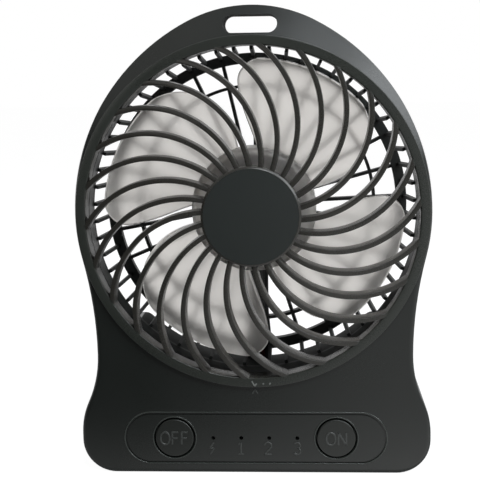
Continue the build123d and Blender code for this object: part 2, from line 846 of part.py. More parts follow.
# Commutator behind the core
with BuildPart() as commutator:
    with BuildSketch(axis_plane(core_front_y + core_length + commutator_length)):
        Circle(commutator_radius)
        Circle(shaft_radius, mode=Mode.SUBTRACT)
    extrude(amount=commutator_length)
save(commutator, "commutator")

# Solder tabs of the motor
with BuildPart() as motor_terminals:
    with BuildSketch(depth_plane(lead_y + lead_radius)):
        with Locations((terminal_x, terminal_z), (-terminal_x, terminal_z)):
            Rectangle(terminal_width, terminal_thickness)
    extrude(amount=lead_y + lead_radius - end_cap_back_y)
save(motor_terminals, "motor_terminals")

# Plate that holds the motor in its pod
with BuildPart() as motor_retainer:
    with BuildSketch(depth_plane(can_front_y)):
        with Locations((0, axis_height)):
            Circle(pod_outer)
        with Locations(*motor_screw_points):
            Circle(pod_boss_radius)
        with Locations((0, axis_height)):
            Circle(retainer_hole, mode=Mode.SUBTRACT)
        with Locations(*motor_screw_points):
            Circle(small_screw_radius + screw_fit, mode=Mode.SUBTRACT)
    extrude(amount=retainer_thickness)
save(motor_retainer, "motor_retainer")

save(
    screw_set(motor_screw_points, retainer_front_y, small_screw_length, small_screw_radius,
              small_screw_head, small_screw_head_height, False),
    "motor_screws",
)


def blade_depth(angle):
    """Depth of the blade's middle surface at an angle, an even twist from the rear edge to the front edge."""
    share = (angle - blade_rear_root_angle) / (blade_front_middle_angle - blade_rear_root_angle)
    return blade_rear_y + share * (blade_front_y - blade_rear_y)


# One blade: a twisted slab cut to the shape seen from the front
slab_start = blade_rear_root_angle - blade_overrun
slab_turn = blade_front_middle_angle + blade_overrun - slab_start
with BuildPart() as blade:
    for k in range(blade_sections):
        angle = slab_start + slab_turn * k / (blade_sections - 1)
        radial = (cos(radians(angle)), 0, sin(radians(angle)))
        around = (-sin(radians(angle)), 0, cos(radians(angle)))
        with BuildSketch(Plane(origin=(0, blade_depth(angle), axis_height), x_dir=radial, z_dir=around)):
            with Locations(((impeller_hub_radius + impeller_radius) / 2, 0)):
                Rectangle(impeller_radius - impeller_hub_radius + 4 * impeller_wall, blade_thickness)
    loft()
    with BuildSketch(axis_plane(impeller_skirt_y)):
        root_radius = impeller_hub_radius - impeller_wall / 2
        middle_radius = (impeller_hub_radius + impeller_radius) / 2
        with BuildLine():
            ThreePointArc(
                polar(root_radius, blade_rear_root_angle),
                polar(middle_radius, blade_rear_middle_angle),
                polar(impeller_radius, blade_rear_tip_angle),
            )
            CenterArc(
                (0, 0), impeller_radius, blade_rear_tip_angle, blade_front_tip_angle - blade_rear_tip_angle
            )
            ThreePointArc(
                polar(impeller_radius, blade_front_tip_angle),
                polar(middle_radius, blade_front_middle_angle),
                polar(root_radius, blade_front_root_angle),
            )
            CenterArc(
                (0, 0), root_radius, blade_rear_root_angle, blade_front_root_angle - blade_rear_root_angle
            )
        make_face()
        tips = vertices().filter_by(lambda v: abs(Vector(v.X, v.Y).length - impeller_radius) < near_enough)
        fillet(tips, blade_corner)
    extrude(amount=impeller_skirt_y - hub_face_y, mode=Mode.INTERSECT)

# Impeller: hub cup with a boss for the shaft and four blades
with BuildPart() as impeller:
    with BuildSketch(axis_plane(impeller_skirt_y)):
        Circle(impeller_hub_radius)
    extrude(amount=impeller_skirt_y - impeller_front_y)
    fillet(faces().sort_by(Axis.Y)[0].edges(), impeller_round)
    with BuildSketch(axis_plane(impeller_skirt_y)):
        Circle(impeller_hub_radius - impeller_wall)
    extrude(amount=impeller_skirt_y - impeller_front_y - impeller_wall, mode=Mode.SUBTRACT)
    with BuildSketch(axis_plane(retainer_front_y)):
        Circle(impeller_boss_radius)
    extrude(amount=retainer_front_y - impeller_front_y - impeller_wall / 2)
    with BuildSketch(axis_plane(retainer_front_y)):
        Circle(shaft_radius)
    extrude(amount=retainer_front_y - shaft_front_y, mode=Mode.SUBTRACT)
    for k in range(blade_count):
        add(blade.part.rotate(fan_axis, k * 360 / blade_count))
save(impeller, "impeller")

# Circuit board with a tail for the charging socket
with BuildPart() as control_board:
    with BuildSketch(depth_plane(board_back_y)):
        with Locations((board_left, board_bottom)):
            Rectangle(board_right - board_left, board_top - board_bottom, align=(Align.MIN, Align.MIN))
        with Locations((board_right, tail_bottom)):
            Rectangle(tail_right - board_right, tail_top - tail_bottom, align=(Align.MIN, Align.MIN))
        with Locations(*board_screw_points):
            Circle(small_screw_radius + screw_fit, mode=Mode.SUBTRACT)
    extrude(amount=board_thickness)
save(control_board, "control_board")

save(
    screw_set(board_screw_points, board_back_y, small_screw_length, small_screw_radius,
              small_screw_head, small_screw_head_height, True),
    "board_screws",
)

# Chips on the back of the board: regulator, coil and capacitor
with BuildPart() as board_chips:
    with BuildSketch(depth_plane(board_back_y)):
        with Locations((regulator_x, chip_z)):
            Rectangle(regulator_width, regulator_width)
        with Locations((coil_x, chip_z)):
            Rectangle(coil_width, coil_width)
        with Locations((capacitor_x, chip_z)):
            Rectangle(capacitor_width, capacitor_width / 2)
    extrude(amount=-chip_height)
save(board_chips, "board_chips")

# Indicator lamps behind the four holes
with BuildPart() as indicator_lamps:
    with BuildSketch(depth_plane(board_front_y)):
        with Locations(*led_points):
            Circle(led_radius)
    extrude(amount=board_front_y - panel_back_y - led_gap)
    tips = edges().filter_by(GeomType.CIRCLE).filter_by(
        lambda e: abs(e.center().Y - panel_back_y - led_gap) < near_enough
    )
    fillet(tips, led_round)
save(indicator_lamps, "indicator_lamps")

# Charging socket: a thin shell with a tongue
with BuildPart() as usb_socket:
    with BuildSketch(Plane.YZ.offset(socket_right)):
        with Locations((board_back_y + socket_height / 2, socket_z)):
            Rectangle(socket_height, socket_width)
    extrude(amount=-socket_length)
    with BuildSketch(Plane.YZ.offset(socket_right)):
        with Locations((board_back_y + socket_height / 2, socket_z)):
            Rectangle(socket_height - 2 * socket_skin, socket_width - 2 * socket_skin)
    extrude(amount=-socket_length + socket_set_back, mode=Mode.SUBTRACT)
    with BuildSketch(Plane.YZ.offset(socket_right - socket_length)):
        with Locations((board_back_y + socket_height / 2 - socket_skin, socket_z)):
            Rectangle(2 * socket_skin, socket_width / 2)
    extrude(amount=socket_length - 2 * socket_set_back)
save(usb_socket, "usb_socket")

# Switches, plungers and caps of the two buttons
for name, x in (("on", button_x), ("off", -button_x)):
    with BuildPart() as switch:
        with BuildSketch(depth_plane(board_front_y)):
            with Locations((x, panel_z)):
                Rectangle(switch_size, switch_size)
        extrude(amount=switch_height)
        with BuildSketch(depth_plane(switch_front_y)):
            with Locations((x, panel_z)):
                Circle(plunger_radius + plunger_gap)
        extrude(amount=plunger_gap - switch_height, mode=Mode.SUBTRACT)
    save(switch, name + "_switch")

    with BuildPart() as plunger:
        with BuildSketch(depth_plane(plunger_back_y)):
            with Locations((x, panel_z)):
                Circle(plunger_radius)
        extrude(amount=plunger_length)
    save(plunger, name + "_plunger")

    with BuildPart() as button:
        flange_front_y = panel_back_y + button_gap
        flange_back = flange_front_y + button_flange_thickness
        with BuildSketch(depth_plane(flange_front_y)):
            with Locations((x, panel_z)):
                Circle(button_radius)
        extrude(amount=flange_front_y - base_front_y + button_proud)
        fillet(faces().sort_by(Axis.Y)[0].edges(), button_round)
        with BuildSketch(depth_plane(flange_back)):
            with Locations((x, panel_z)):
                Circle(button_radius + button_flange)
        extrude(amount=button_flange_thickness)
        with BuildSketch(depth_plane(plunger_front_y)):
            with Locations((x, panel_z)):
                Circle(plunger_radius)
        extrude(amount=plunger_front_y - flange_back)
    save(button, name + "_button")

# Rechargeable cell lying across the base
with BuildPart() as battery_cell:
    with BuildSketch(Plane.YZ.offset(-cell_length / 2)):
        with Locations((cell_y, cell_z)):
            Circle(cell_radius)
    extrude(amount=cell_length - cell_nub_length)
    with BuildSketch(Plane.YZ.offset(cell_length / 2 - cell_nub_length)):
        with Locations((cell_y, cell_z)):
            Circle(cell_nub_radius)
    extrude(amount=cell_nub_length)
save(battery_cell, "battery_cell")

# Leaf contacts at the ends of the cell, with tails to the board
for name, way in (("positive", 1), ("negative", -1)):
    wall_x = bay_half_length - contact_thickness / 2
    touch_x = cell_length / 2 + contact_thickness / 2
    with BuildPart() as contact:
        with BuildSketch(Plane.XY.offset(cell_z - contact_height / 2)):
            with BuildLine():
                Polyline(
                    (way * wall_x, board_back_y),
                    (way * wall_x, cell_y + cell_radius / 2),
                    (way * touch_x, cell_y + cell_nub_radius / 2),
                    (way * touch_x, cell_y - cell_nub_radius / 2),
                    (way * (touch_x + wall_x) / 2, cell_y - cell_radius / 2),
                )
            trace(line_width=contact_thickness)
        extrude(amount=contact_height)
    save(contact, "contact_" + name)

# Door of the cell bay
with BuildPart() as battery_door:
    with BuildSketch(depth_plane(base_back_y)):
        with Locations((0, (bay_floor + bay_ceiling) / 2)):
            RectangleRounded(2 * (bay_half_length + door_margin - door_gap),
                             bay_ceiling - bay_floor + 2 * (door_margin - door_gap), door_corner)
    extrude(amount=door_thickness)
    with BuildSketch(depth_plane(base_back_y)):
        with Locations((0, bay_ceiling - grip_count * grip_pitch)):
            with GridLocations(0, grip_pitch, 1, grip_count):
                SlotOverall(grip_count * grip_pitch, grip_pitch / 2)
    extrude(amount=groove_depth, mode=Mode.SUBTRACT)
save(battery_door, "battery_door")

# Leads from the motor to the board, held in the arm and over the bay
for name, x in (("red", terminal_x), ("black", -terminal_x)):
    with BuildPart() as lead:
        with BuildLine() as route:
            FilletPolyline(
                (x, lead_y, terminal_z - terminal_thickness / 2),
                (x, lead_y, lead_z),
                (x, board_back_y, lead_z),
                radius=lead_bend,
            )
        with BuildSketch(Plane(origin=(x, lead_y, terminal_z - terminal_thickness / 2), z_dir=(0, 0, -1))):
            Circle(lead_radius)
        sweep(path=route.line)
    save(lead, "motor_lead_" + name)

save(
    screw_set(screw_points, screw_seat_y, screw_length, screw_radius,
              screw_head_radius, screw_head_height, True),
    "housing_screws",
)
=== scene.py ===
# %% [markdown]
# A small rechargeable desk fan.
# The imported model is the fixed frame: its solids are in metres and never move, and every
# piece made here sits on them. The casing, the buttons, the cage and the inner parts keep
# their solids and only get a finish. The grille, the impeller and the fine lines on the
# front are what the eye notices most, so they are worked out anew as numpy surfaces.

# %% Load the frame
import json
from math import pi, radians

import bmesh
import bpy
import numpy as np
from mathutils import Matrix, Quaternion, Vector


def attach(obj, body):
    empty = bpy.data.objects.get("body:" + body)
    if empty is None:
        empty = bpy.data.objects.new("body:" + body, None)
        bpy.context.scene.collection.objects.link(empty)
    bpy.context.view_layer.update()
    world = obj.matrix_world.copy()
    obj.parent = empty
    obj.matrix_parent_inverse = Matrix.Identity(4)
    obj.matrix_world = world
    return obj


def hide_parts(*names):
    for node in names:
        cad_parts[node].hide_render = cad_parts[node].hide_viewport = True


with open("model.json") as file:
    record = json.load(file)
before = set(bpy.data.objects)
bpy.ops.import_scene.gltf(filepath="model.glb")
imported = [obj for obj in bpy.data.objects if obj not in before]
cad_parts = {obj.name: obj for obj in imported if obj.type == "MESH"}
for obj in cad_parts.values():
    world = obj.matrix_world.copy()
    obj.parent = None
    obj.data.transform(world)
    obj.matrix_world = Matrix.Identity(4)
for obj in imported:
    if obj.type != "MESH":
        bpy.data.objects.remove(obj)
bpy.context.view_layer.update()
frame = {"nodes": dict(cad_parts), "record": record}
nodes = frame["nodes"]
record = frame["record"]
MM = 0.001
JOINTS = {joint["name"]: joint for joint in record["behaviour"]["joints"]}
AXIS_Z = JOINTS["fan_spin"]["pos_m"][2] / MM

# %% [markdown]
# Finishes come first. A finish is a tree of shader nodes, and a tree with some sums in it
# soon takes a hundred lines when each node is made and linked by hand. One small class
# wraps a socket instead, so that a sum of sockets is written as a sum in Python.

# %% Shader sums as Python sums
class Tone:
    """A socket in a sum: each operator adds one Math node to the same tree."""

    def __init__(self, finish, socket):
        self.finish = finish
        self.socket = socket

    def __add__(self, other):
        return self.finish.math("ADD", self, other)

    def __sub__(self, other):
        return self.finish.math("SUBTRACT", self, other)

    def __rsub__(self, other):
        return self.finish.math("SUBTRACT", other, self)

    def __mul__(self, other):
        return self.finish.math("MULTIPLY", self, other)

    __radd__ = __add__
    __rmul__ = __mul__


print("socket sums ready")

# %% [markdown]
# The next class holds the tree itself. One method adds any node: first its settings, then
# the values or links of its sockets. A few short methods stand on it for what the finishes
# here share: a blend of two colours, an even ramp, noise, and the place of a point.

# %% Trees of shader nodes
class Finish:
    """A node tree: add() makes any node, feed() sets a socket or links it."""

    def __init__(self, tree):
        self.tree = tree

    def feed(self, socket, value):
        if isinstance(value, Tone):
            self.tree.links.new(value.socket, socket)
        else:
            socket.default_value = value

    def add(self, kind, settings=None, inputs=None, output=0):
        """A node of this kind with its settings, then its inputs, and the Tone of one output."""
        node = self.tree.nodes.new("ShaderNode" + kind)
        for name, value in (settings or {}).items():
            setattr(node, name, value)
        for name, value in (inputs or {}).items():
            self.feed(node.inputs[name], value)
        return Tone(self, node.outputs[output])

    def math(self, operation, *values):
        """A Math node that does one operation on its values."""
        return self.add("Math", {"operation": operation}, dict(enumerate(values)))

    def ramp(self, value, start, end, low=0.0, high=1.0):
        """Low up to the start, high from the end on, and an even climb between them."""
        limits = {"From Min": start, "From Max": end, "To Min": low, "To Max": high}
        return self.add("MapRange", None, {"Value": value, **limits})

    def blend(self, share, first, second):
        """Colour between two colours, by a share from 0 to 1."""
        return self.add("Mix", {"data_type": "RGBA"}, {0: share, 6: first, 7: second}, 2)

    def noise(self, scale, detail=2.0):
        """Noise from 0 to 1 on Object coordinates, with so many bumps to the metre."""
        spot = self.add("TexCoord", output="Object")
        return self.add("TexNoise", None, {"Vector": spot, "Scale": scale, "Detail": detail})

    def place(self, coordinates="Object"):
        """The x, y and z of a point, each as a Tone."""
        spot = self.add("TexCoord", output=coordinates)
        split = self.add("SeparateXYZ", None, {0: spot})
        return [Tone(self, socket) for socket in split.socket.node.outputs]

    def close(self, kind, shader):
        """The output node of the tree, fed by its last shader."""
        output = self.tree.nodes.new("ShaderNodeOutput" + kind)
        self.feed(output.inputs["Surface"], shader)


print("tree helpers ready")

# %% [markdown]
# A surface needs a material with a shader in it. The Principled shader covers plastic, metal
# and clear matter with the same sockets, so one class does for all of them. A number that is
# the same all over a surface is set on the shader's own socket, and only what changes from
# place to place comes from nodes.

# %% The coat of a surface
class Coat(Finish):
    """The finish of a surface: a material with one Principled shader."""

    def __init__(self, name, **constants):
        self.material = bpy.data.materials.new(name)
        self.material.use_nodes = True
        super().__init__(self.material.node_tree)
        self.shader = self.tree.nodes["Principled BSDF"]
        for words, value in constants.items():
            self.shader.inputs[words.replace("_", " ")].default_value = value

    def paint(self, name, value):
        self.feed(self.shader.inputs[name], value)

    def relief(self, height, strength, distance):
        """Small bumps that follow a height, as the shader's Normal."""
        bump = {"Strength": strength, "Distance": distance, "Height": height}
        self.paint("Normal", self.add("Bump", None, bump))


print("coat helpers ready")

# %% [markdown]
# The casing has a light gloss, but two of its walls look duller: the lower wall of the round
# duct, behind the grille, and the wall of the carry slot. They could be pieces of their own.
# A mask leaves the solid whole: it is 1 where a point lies on such a wall and 0 elsewhere,
# worked out from the point's place, with the middle of the slot read from the frame.

# %% Masks by place
# Each pair of limits, in millimetres, is where a mask is 0 and where it is 1.
DUCT_INSIDE, DUCT_OUTSIDE = (50.1, 50.2), (53.1, 53.0)
DUCT_BEHIND, DUCT_BELOW = (-12.8, -12.5), (-12.0, -28.0)
RING_BEYOND = (50.2, 50.6)
SLOT_RUN, SLOT_R = 5.4, 2.7
SLOT_WITHIN = (SLOT_R + 0.15, SLOT_R + 0.1)
OPENINGS = {opening["name"]: opening["box_m"] for opening in record["physics"]["openings"]}
SLOT_LOW, SLOT_HIGH = OPENINGS["carry_slot"]
SLOT_Z = (SLOT_LOW[2] + SLOT_HIGH[2]) / 2 / MM


def past(coat, value, limits):
    """An even ramp from 0 at the first limit to 1 at the second."""
    start, end = limits
    return coat.ramp(value, start * MM, end * MM)


def about_axis(coat):
    """Distance from the fan axis, which is the root of x * x + h * h, then depth and height h."""
    x, y, z = coat.place()
    height = z - AXIS_Z * MM
    return coat.math("SQRT", x * x + height * height), y, height


def duct_wall(coat):
    """One on the lower wall of the round duct, behind the front face: four ramps multiplied."""
    off_axis, y, height = about_axis(coat)
    wall = past(coat, off_axis, DUCT_OUTSIDE) * past(coat, off_axis, DUCT_INSIDE)
    return wall * past(coat, y, DUCT_BEHIND) * past(coat, height, DUCT_BELOW)


def slot_wall(coat):
    """One on the wall of the carry slot: a ramp on the distance from the slot's mid line."""
    x, _, z = coat.place()
    along = coat.math("MAXIMUM", coat.math("ABSOLUTE", x) - SLOT_RUN * MM, 0.0)
    height = z - SLOT_Z * MM
    return past(coat, coat.math("SQRT", along * along + height * height), SLOT_WITHIN)


print("middle of the carry slot:", round(SLOT_Z, 2), "mm up")

# %% [markdown]
# The casing, the grille, the cage and the buttons are moulded plastic. Up close the mould
# leaves a very fine grain, and the gloss drifts a little from place to place. A picture of
# plastic could be laid on, but noise on Object coordinates has a real size and doesn't slide
# when a piece moves.

# %% Moulded plastic
DRIFT_SCALE, DRIFT_DETAIL, DRIFT_GLOSS = 38.0, 4.0, 0.16
GRAIN_GLOSS, GRAIN_HEIGHT, WALL_DULL = 0.10, 0.0002, 0.6


def rgb(red, green, blue):
    """Linear colour from the 0 to 255 values of a screen, by the usual screen curve."""
    share = np.array([red, green, blue]) / 255
    linear = np.where(share <= 0.04045, share / 12.92, ((share + 0.055) / 1.055) ** 2.4)
    return (*linear.tolist(), 1.0)


def moulded(name, dark, light, gloss, grain=5200.0, relief=0.12, walls=False, ring_tint=None):
    """Plastic between two close colours, with a fine grain and a gloss that drifts.

    With walls, the duct and the carry slot are dull inside. A ring tint is the pair of
    colours that the outer ring has instead.
    """
    coat = Coat(name)
    drift = coat.noise(DRIFT_SCALE, DRIFT_DETAIL)
    grains = coat.noise(grain)
    colour = coat.blend(drift, dark, light)
    if ring_tint:
        outer = past(coat, about_axis(coat)[0], RING_BEYOND)
        colour = coat.blend(outer, colour, coat.blend(drift, *ring_tint))
    coat.paint("Base Color", colour)
    rough = gloss + (drift - 0.5) * DRIFT_GLOSS + (grains - 0.5) * GRAIN_GLOSS
    if walls:
        rough = rough + (duct_wall(coat) + slot_wall(coat)) * WALL_DULL
    coat.paint("Roughness", rough)
    coat.relief(grains, relief, GRAIN_HEIGHT)
    return coat.material


print("moulded plastic ready")

# %% [markdown]
# All of the outside is black, and one black for all would make it a flat shape. The blacks
# differ as on the real fan: the casing is a cool, glossy black, the cage the dullest, and the
# ring of the grille is a little greener than its bars. The lips, the signs and the marks are
# given a lighter colour: a painted highlight for the light that their fine edges catch.

# %% The blacks of the fan
casing = moulded("casing_black", rgb(19, 23, 20), rgb(25, 28, 26), 0.30, walls=True)
cage_black = moulded("cage_black", rgb(16, 19, 17), rgb(22, 25, 23), 0.62)
ring_green = (rgb(35, 38, 34), rgb(41, 44, 40))
grille_black = moulded(
    "grille_black", rgb(37, 36, 32), rgb(43, 41, 37), 0.28,
    grain=7000.0, relief=0.08, ring_tint=ring_green,
)
# Lighter than the casing: a painted highlight on the lips of the panel and the key holes.
lip_black = moulded("lip_black", rgb(40, 44, 41), rgb(48, 52, 49), 0.24)
hub_black = moulded(
    "hub_black", rgb(29, 34, 32), rgb(35, 39, 38), 0.34, grain=9000.0, relief=0.06
)
button_black = moulded("button_black", rgb(18, 22, 18), rgb(24, 27, 24), 0.34)
# Lighter than the keys and the casing: a painted highlight on the raised signs and letters.
sign_black = moulded("sign_black", rgb(48, 51, 49), rgb(58, 60, 58), 0.38)
# Light grey: a painted highlight on the raised twist lock marks of the ring.
mark_grey = moulded("mark_grey", rgb(104, 107, 104), rgb(118, 120, 117), 0.4)
print("black plastics ready")

# %% [markdown]
# The blades are a milky plastic: light comes through, and the dark spokes behind show as soft
# grey lines. Light scattered under the surface would be the full way and takes long to
# render. A clear shader with a rough surface looks much the same on so thin a sheet, and the
# share that isn't clear stays plain white, so that the blades keep a body of their own.

# %% Milky plastic
CLOUD_SCALE, CLOUD_DETAIL, CLOUD_GLOSS = 55.0, 3.0, 0.1
SKIN_SCALE, SKIN_RELIEF = 2400.0, 0.03


def milky(name, dark, light, gloss, clear):
    """Pale plastic of which a share is clear, with slow clouds in its colour and gloss."""
    coat = Coat(name, Transmission_Weight=clear, IOR=1.46)
    clouds = coat.noise(CLOUD_SCALE, CLOUD_DETAIL)
    coat.paint("Base Color", coat.blend(clouds, dark, light))
    coat.paint("Roughness", gloss + (clouds - 0.5) * CLOUD_GLOSS)
    coat.relief(coat.noise(SKIN_SCALE), SKIN_RELIEF, GRAIN_HEIGHT)
    return coat.material


blade_milk = milky("blade_milk", rgb(236, 233, 229), rgb(246, 243, 239), 0.40, clear=0.85)
lamp_clear = milky("lamp_clear", rgb(226, 230, 234), rgb(240, 243, 246), 0.12, clear=0.7)
print("milky plastics ready")

# %% [markdown]
# The motor, the screws and the contacts are metal. They sit inside, where only an open door
# or a turned view shows them. Rolled and turned metal has fine lines in one direction, and a
# noise that is stretched along that direction gives them without a picture.

# %% Worked metal
BRUSH_DETAIL, BRUSH_GLOSS, BRUSH_RELIEF, BRUSH_HEIGHT = 3.0, 0.2, 0.05, 0.0001
LINES_ACROSS = (60.0, 60.0, 2600.0)
SHEETS, TURNS = (30.0, 5200.0, 30.0), (30.0, 3300.0, 30.0)


def worked_metal(name, dark, light, gloss, lines=LINES_ACROSS):
    """Metal with fine lines: a noise with few bumps to the metre along them and many across."""
    coat = Coat(name, Metallic=1.0)
    spot = coat.add("TexCoord", output="Object")
    stretched = coat.add("Mapping", None, {"Vector": spot, "Scale": lines})
    inputs = {"Vector": stretched, "Scale": 1.0, "Detail": BRUSH_DETAIL}
    brushed = coat.add("TexNoise", None, inputs)
    coat.paint("Base Color", coat.blend(brushed, dark, light))
    coat.paint("Roughness", gloss + (brushed - 0.5) * BRUSH_GLOSS)
    coat.relief(brushed, BRUSH_RELIEF, BRUSH_HEIGHT)
    return coat.material


steel = worked_metal("bright_steel", rgb(176, 176, 174), rgb(204, 204, 202), 0.34)
screw_steel = worked_metal("screw_steel", rgb(120, 121, 124), rgb(158, 158, 160), 0.38)
core_steel = worked_metal("core_steel", rgb(96, 96, 98), rgb(130, 130, 132), 0.48, SHEETS)
copper = worked_metal("copper_wire", rgb(168, 92, 52), rgb(206, 126, 78), 0.36, TURNS)
brass = worked_metal("bush_brass", rgb(176, 146, 84), rgb(206, 178, 112), 0.38)
nickel = worked_metal("contact_nickel", rgb(184, 183, 178), rgb(212, 211, 206), 0.3)
print("metals ready")

# %% [markdown]
# The other inner parts are moulded, pressed or wrapped, so they use the plastic from above
# with colours of their own. The record names a material slot for each node, and one table
# from slot to finish dresses them all. The cage shares the casing's slot but is duller, so
# it has an entry by its own name. A solid gets a new material here; its mesh stays as it is.

# %% A finish for every node
magnet_grey = moulded(
    "magnet_grey", rgb(52, 52, 54), rgb(72, 72, 74), 0.6, grain=2600.0, relief=0.3
)
cap_cream = moulded("cap_cream", rgb(206, 202, 190), rgb(226, 222, 212), 0.45)
board_green = moulded(
    "board_green", rgb(22, 78, 48), rgb(30, 98, 60), 0.35, grain=1800.0, relief=0.1
)
chip_black = moulded("chip_black", rgb(28, 28, 29), rgb(42, 42, 43), 0.5)
switch_black = moulded("switch_black", rgb(30, 31, 32), rgb(46, 47, 48), 0.45)
cell_wrap = moulded(
    "cell_wrap", rgb(38, 92, 150), rgb(48, 108, 168), 0.28, grain=1500.0, relief=0.04
)
lead_red = moulded("lead_red", rgb(66, 12, 11), rgb(84, 16, 14), 0.5)
lead_black = moulded("lead_black", rgb(24, 24, 25), rgb(36, 36, 37), 0.42)

slot_finish = {
    "casing": casing, "grille": grille_black, "hub_face": hub_black, "button": button_black,
    "impeller_plastic": blade_milk, "bright_steel": steel, "screw_steel": screw_steel,
    "core_steel": core_steel, "magnet": magnet_grey, "copper": copper, "bush_metal": brass,
    "motor_cap": cap_cream, "board": board_green, "chip": chip_black, "lamp": lamp_clear,
    "switch_plastic": switch_black, "cell": cell_wrap, "contact": nickel,
    "lead_red": lead_red, "lead_black": lead_black,
}
node_finish = {"rear_cage": cage_black}
for part in record["subparts"]:
    mesh = nodes[part["node"]].data
    mesh.materials.clear()
    mesh.materials.append(node_finish.get(part["node"], slot_finish[part["material_slot"]]))
print("nodes with a finish:", len(record["subparts"]))

# %% [markdown]
# New pieces are surfaces on a grid. They could be modelled by hand or cut from solids, but a
# grid of points says its shape in one formula. It becomes quads by the same rule each time.
# A closed direction wraps on itself, and an open end is shut with one flat cap.

# %% Grids into quads
def grid_faces(rows, columns, wrap_rows):
    """Quads of a grid whose columns close on themselves, and whose rows may.

    Point (i, j) has the number i * columns + j. Its quad goes on by the next row, the next
    row and column, and the next column.
    """
    last = rows if wrap_rows else rows - 1
    row, column = np.meshgrid(np.arange(last), np.arange(columns), indexing="ij")
    next_row = (row + 1) % rows
    next_column = (column + 1) % columns
    corners = [
        row * columns + column,
        next_row * columns + column,
        next_row * columns + next_column,
        row * columns + next_column,
    ]
    return np.stack(corners, -1).reshape(-1, 4)


print("quads of a 3 by 4 grid:", len(grid_faces(3, 4, False)))

# %% [markdown]
# A piece is a mesh with a finish that rides on a body of the frame. Points that meet are
# merged first, and then the faces are turned outwards, because a swept grid can come out
# inside out. Smooth shading with an angle limit keeps the moulded edges crisp. The object
# stays at the origin with its place in its mesh, as the solids have it.

# %% Quads into a piece
MERGE_M = 1e-7


def piece_from(name, grids, body, finish, sharp=40.0):
    """One mesh from several grids of shape (rows, columns, 3) in millimetres.

    Each grid is a pair of its points and whether its rows wrap; one that doesn't gets two
    flat caps. Edges that bend by more than the sharp angle, in degrees, stay crisp.
    """
    points, faces, start = [], [], 0
    for grid, wrap_rows in grids:
        rows, columns = grid.shape[:2]
        points.append(grid.reshape(-1, 3))
        faces += (grid_faces(rows, columns, wrap_rows) + start).tolist()
        if not wrap_rows:
            faces.append((np.arange(columns) + start).tolist())
            faces.append((np.arange(columns)[::-1] + start + (rows - 1) * columns).tolist())
        start += rows * columns
    mesh = bpy.data.meshes.new(name)
    mesh.from_pydata((np.concatenate(points) * MM).tolist(), [], faces)
    form = bmesh.new()
    form.from_mesh(mesh)
    bmesh.ops.remove_doubles(form, verts=form.verts, dist=MERGE_M)
    bmesh.ops.recalc_face_normals(form, faces=form.faces)
    form.to_mesh(mesh)
    form.free()
    mesh.polygons.foreach_set("use_smooth", np.ones(len(mesh.polygons), bool))
    mesh.set_sharp_from_angle(angle=radians(sharp))
    mesh.materials.append(finish)
    piece = bpy.data.objects.new(name, mesh)
    bpy.context.scene.collection.objects.link(piece)
    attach(piece, body)
    print(name, "faces:", len(mesh.polygons))
    return piece


print("piece helper ready")

# %% [markdown]
# The ring, the hub, the lugs and the cup of the impeller are all round. A modifier could turn
# a profile about an axis, but the formula is short and keeps the place in the mesh. Moulded
# corners are never sharp, so each profile is a list of corners and one helper rounds them.

# %% Turned and rounded shapes
TINY = 1e-9


def turned(profile, steps=288, start=0.0, sweep=2 * pi):
    """Each point (r, y) of a closed profile goes round: x = r cos a, z = axis + r sin a."""
    profile = np.asarray(profile, float)
    whole = sweep >= 2 * pi
    angle = start + np.linspace(0, sweep, steps, endpoint=not whole)[:, None]
    radius, depth = profile[None, :, 0], profile[None, :, 1]
    x = radius * np.cos(angle)
    z = radius * np.sin(angle) + AXIS_Z
    return np.stack([x, np.broadcast_to(depth, x.shape), z], -1), whole


def rounded(corners, radii, steps=6):
    """A closed outline whose corners are replaced by arcs, each tangent to its two sides.

    An arc's centre lies on the line that halves the corner, radius / sin(half angle) away.
    The arc turns evenly by a spread s from its first point to its last, and at a share t it
    is (first * sin((1 - t) * s) + last * sin(t * s)) / sin(s).
    """
    corners = np.asarray(corners, float)
    before = np.roll(corners, 1, 0) - corners
    after = np.roll(corners, -1, 0) - corners
    before /= np.linalg.norm(before, axis=1, keepdims=True)
    after /= np.linalg.norm(after, axis=1, keepdims=True)
    half = np.arccos(np.clip((before * after).sum(1), -1, 1)) / 2
    radii = np.broadcast_to(np.asarray(radii, float), half.shape)
    middle = before + after
    middle /= np.maximum(np.linalg.norm(middle, axis=1, keepdims=True), TINY)
    centre = corners + middle * (radii / np.sin(half))[:, None]
    first = corners + before * (radii / np.tan(half))[:, None] - centre
    last = corners + after * (radii / np.tan(half))[:, None] - centre
    share = np.linspace(0, 1, steps)[None, :, None]
    spread = (pi - 2 * half)[:, None, None]
    weight = np.maximum(np.sin(spread), TINY)
    arc = np.sin((1 - share) * spread) * first[:, None] + np.sin(share * spread) * last[:, None]
    return (centre[:, None] + arc / weight).reshape(-1, 2)


print("round helpers ready")

# %% [markdown]
# The front grille is one moulding: a ring, a hub and 26 swept bars that bulge forward in a
# shallow dome. In a section through the axis the dome is an arc of a circle, and three points
# fix it: at the hub, half way out and at the ring. It could be drawn by eye, but a circle
# keeps every bar on the same dome.

# %% Dome of the grille
DOME = np.array([[13.3, -18.6], [32.6, -18.3], [50.9, -14.45]])


def circle_through(points):
    """Centre and radius of the circle through three points, from two linear equations."""
    rows = 2 * (points[1:] - points[0])
    centre = np.linalg.solve(rows, (points[1:] ** 2).sum(1) - (points[0] ** 2).sum())
    return centre, np.linalg.norm(points[0] - centre)


def dome_depth(radius):
    """Depth of the dome's front at a radius: the near side of the circle through three points."""
    centre, size = circle_through(DOME)
    return centre[1] - np.sqrt(size**2 - (radius - centre[0]) ** 2)


print("dome depths:", np.round(dome_depth(DOME[:, 0]), 2).tolist())

# %% [markdown]
# Each bar follows an arc in the front view and lies on the dome, so its line is a function of
# one parameter, and a rounded section carried along that line gives the bar. A curve with a
# bevel would do it too, but its section would turn with the slope of the dome, and a moulded bar
# keeps its sides straight back. The bars run out thin over the ring, where the dome dips.

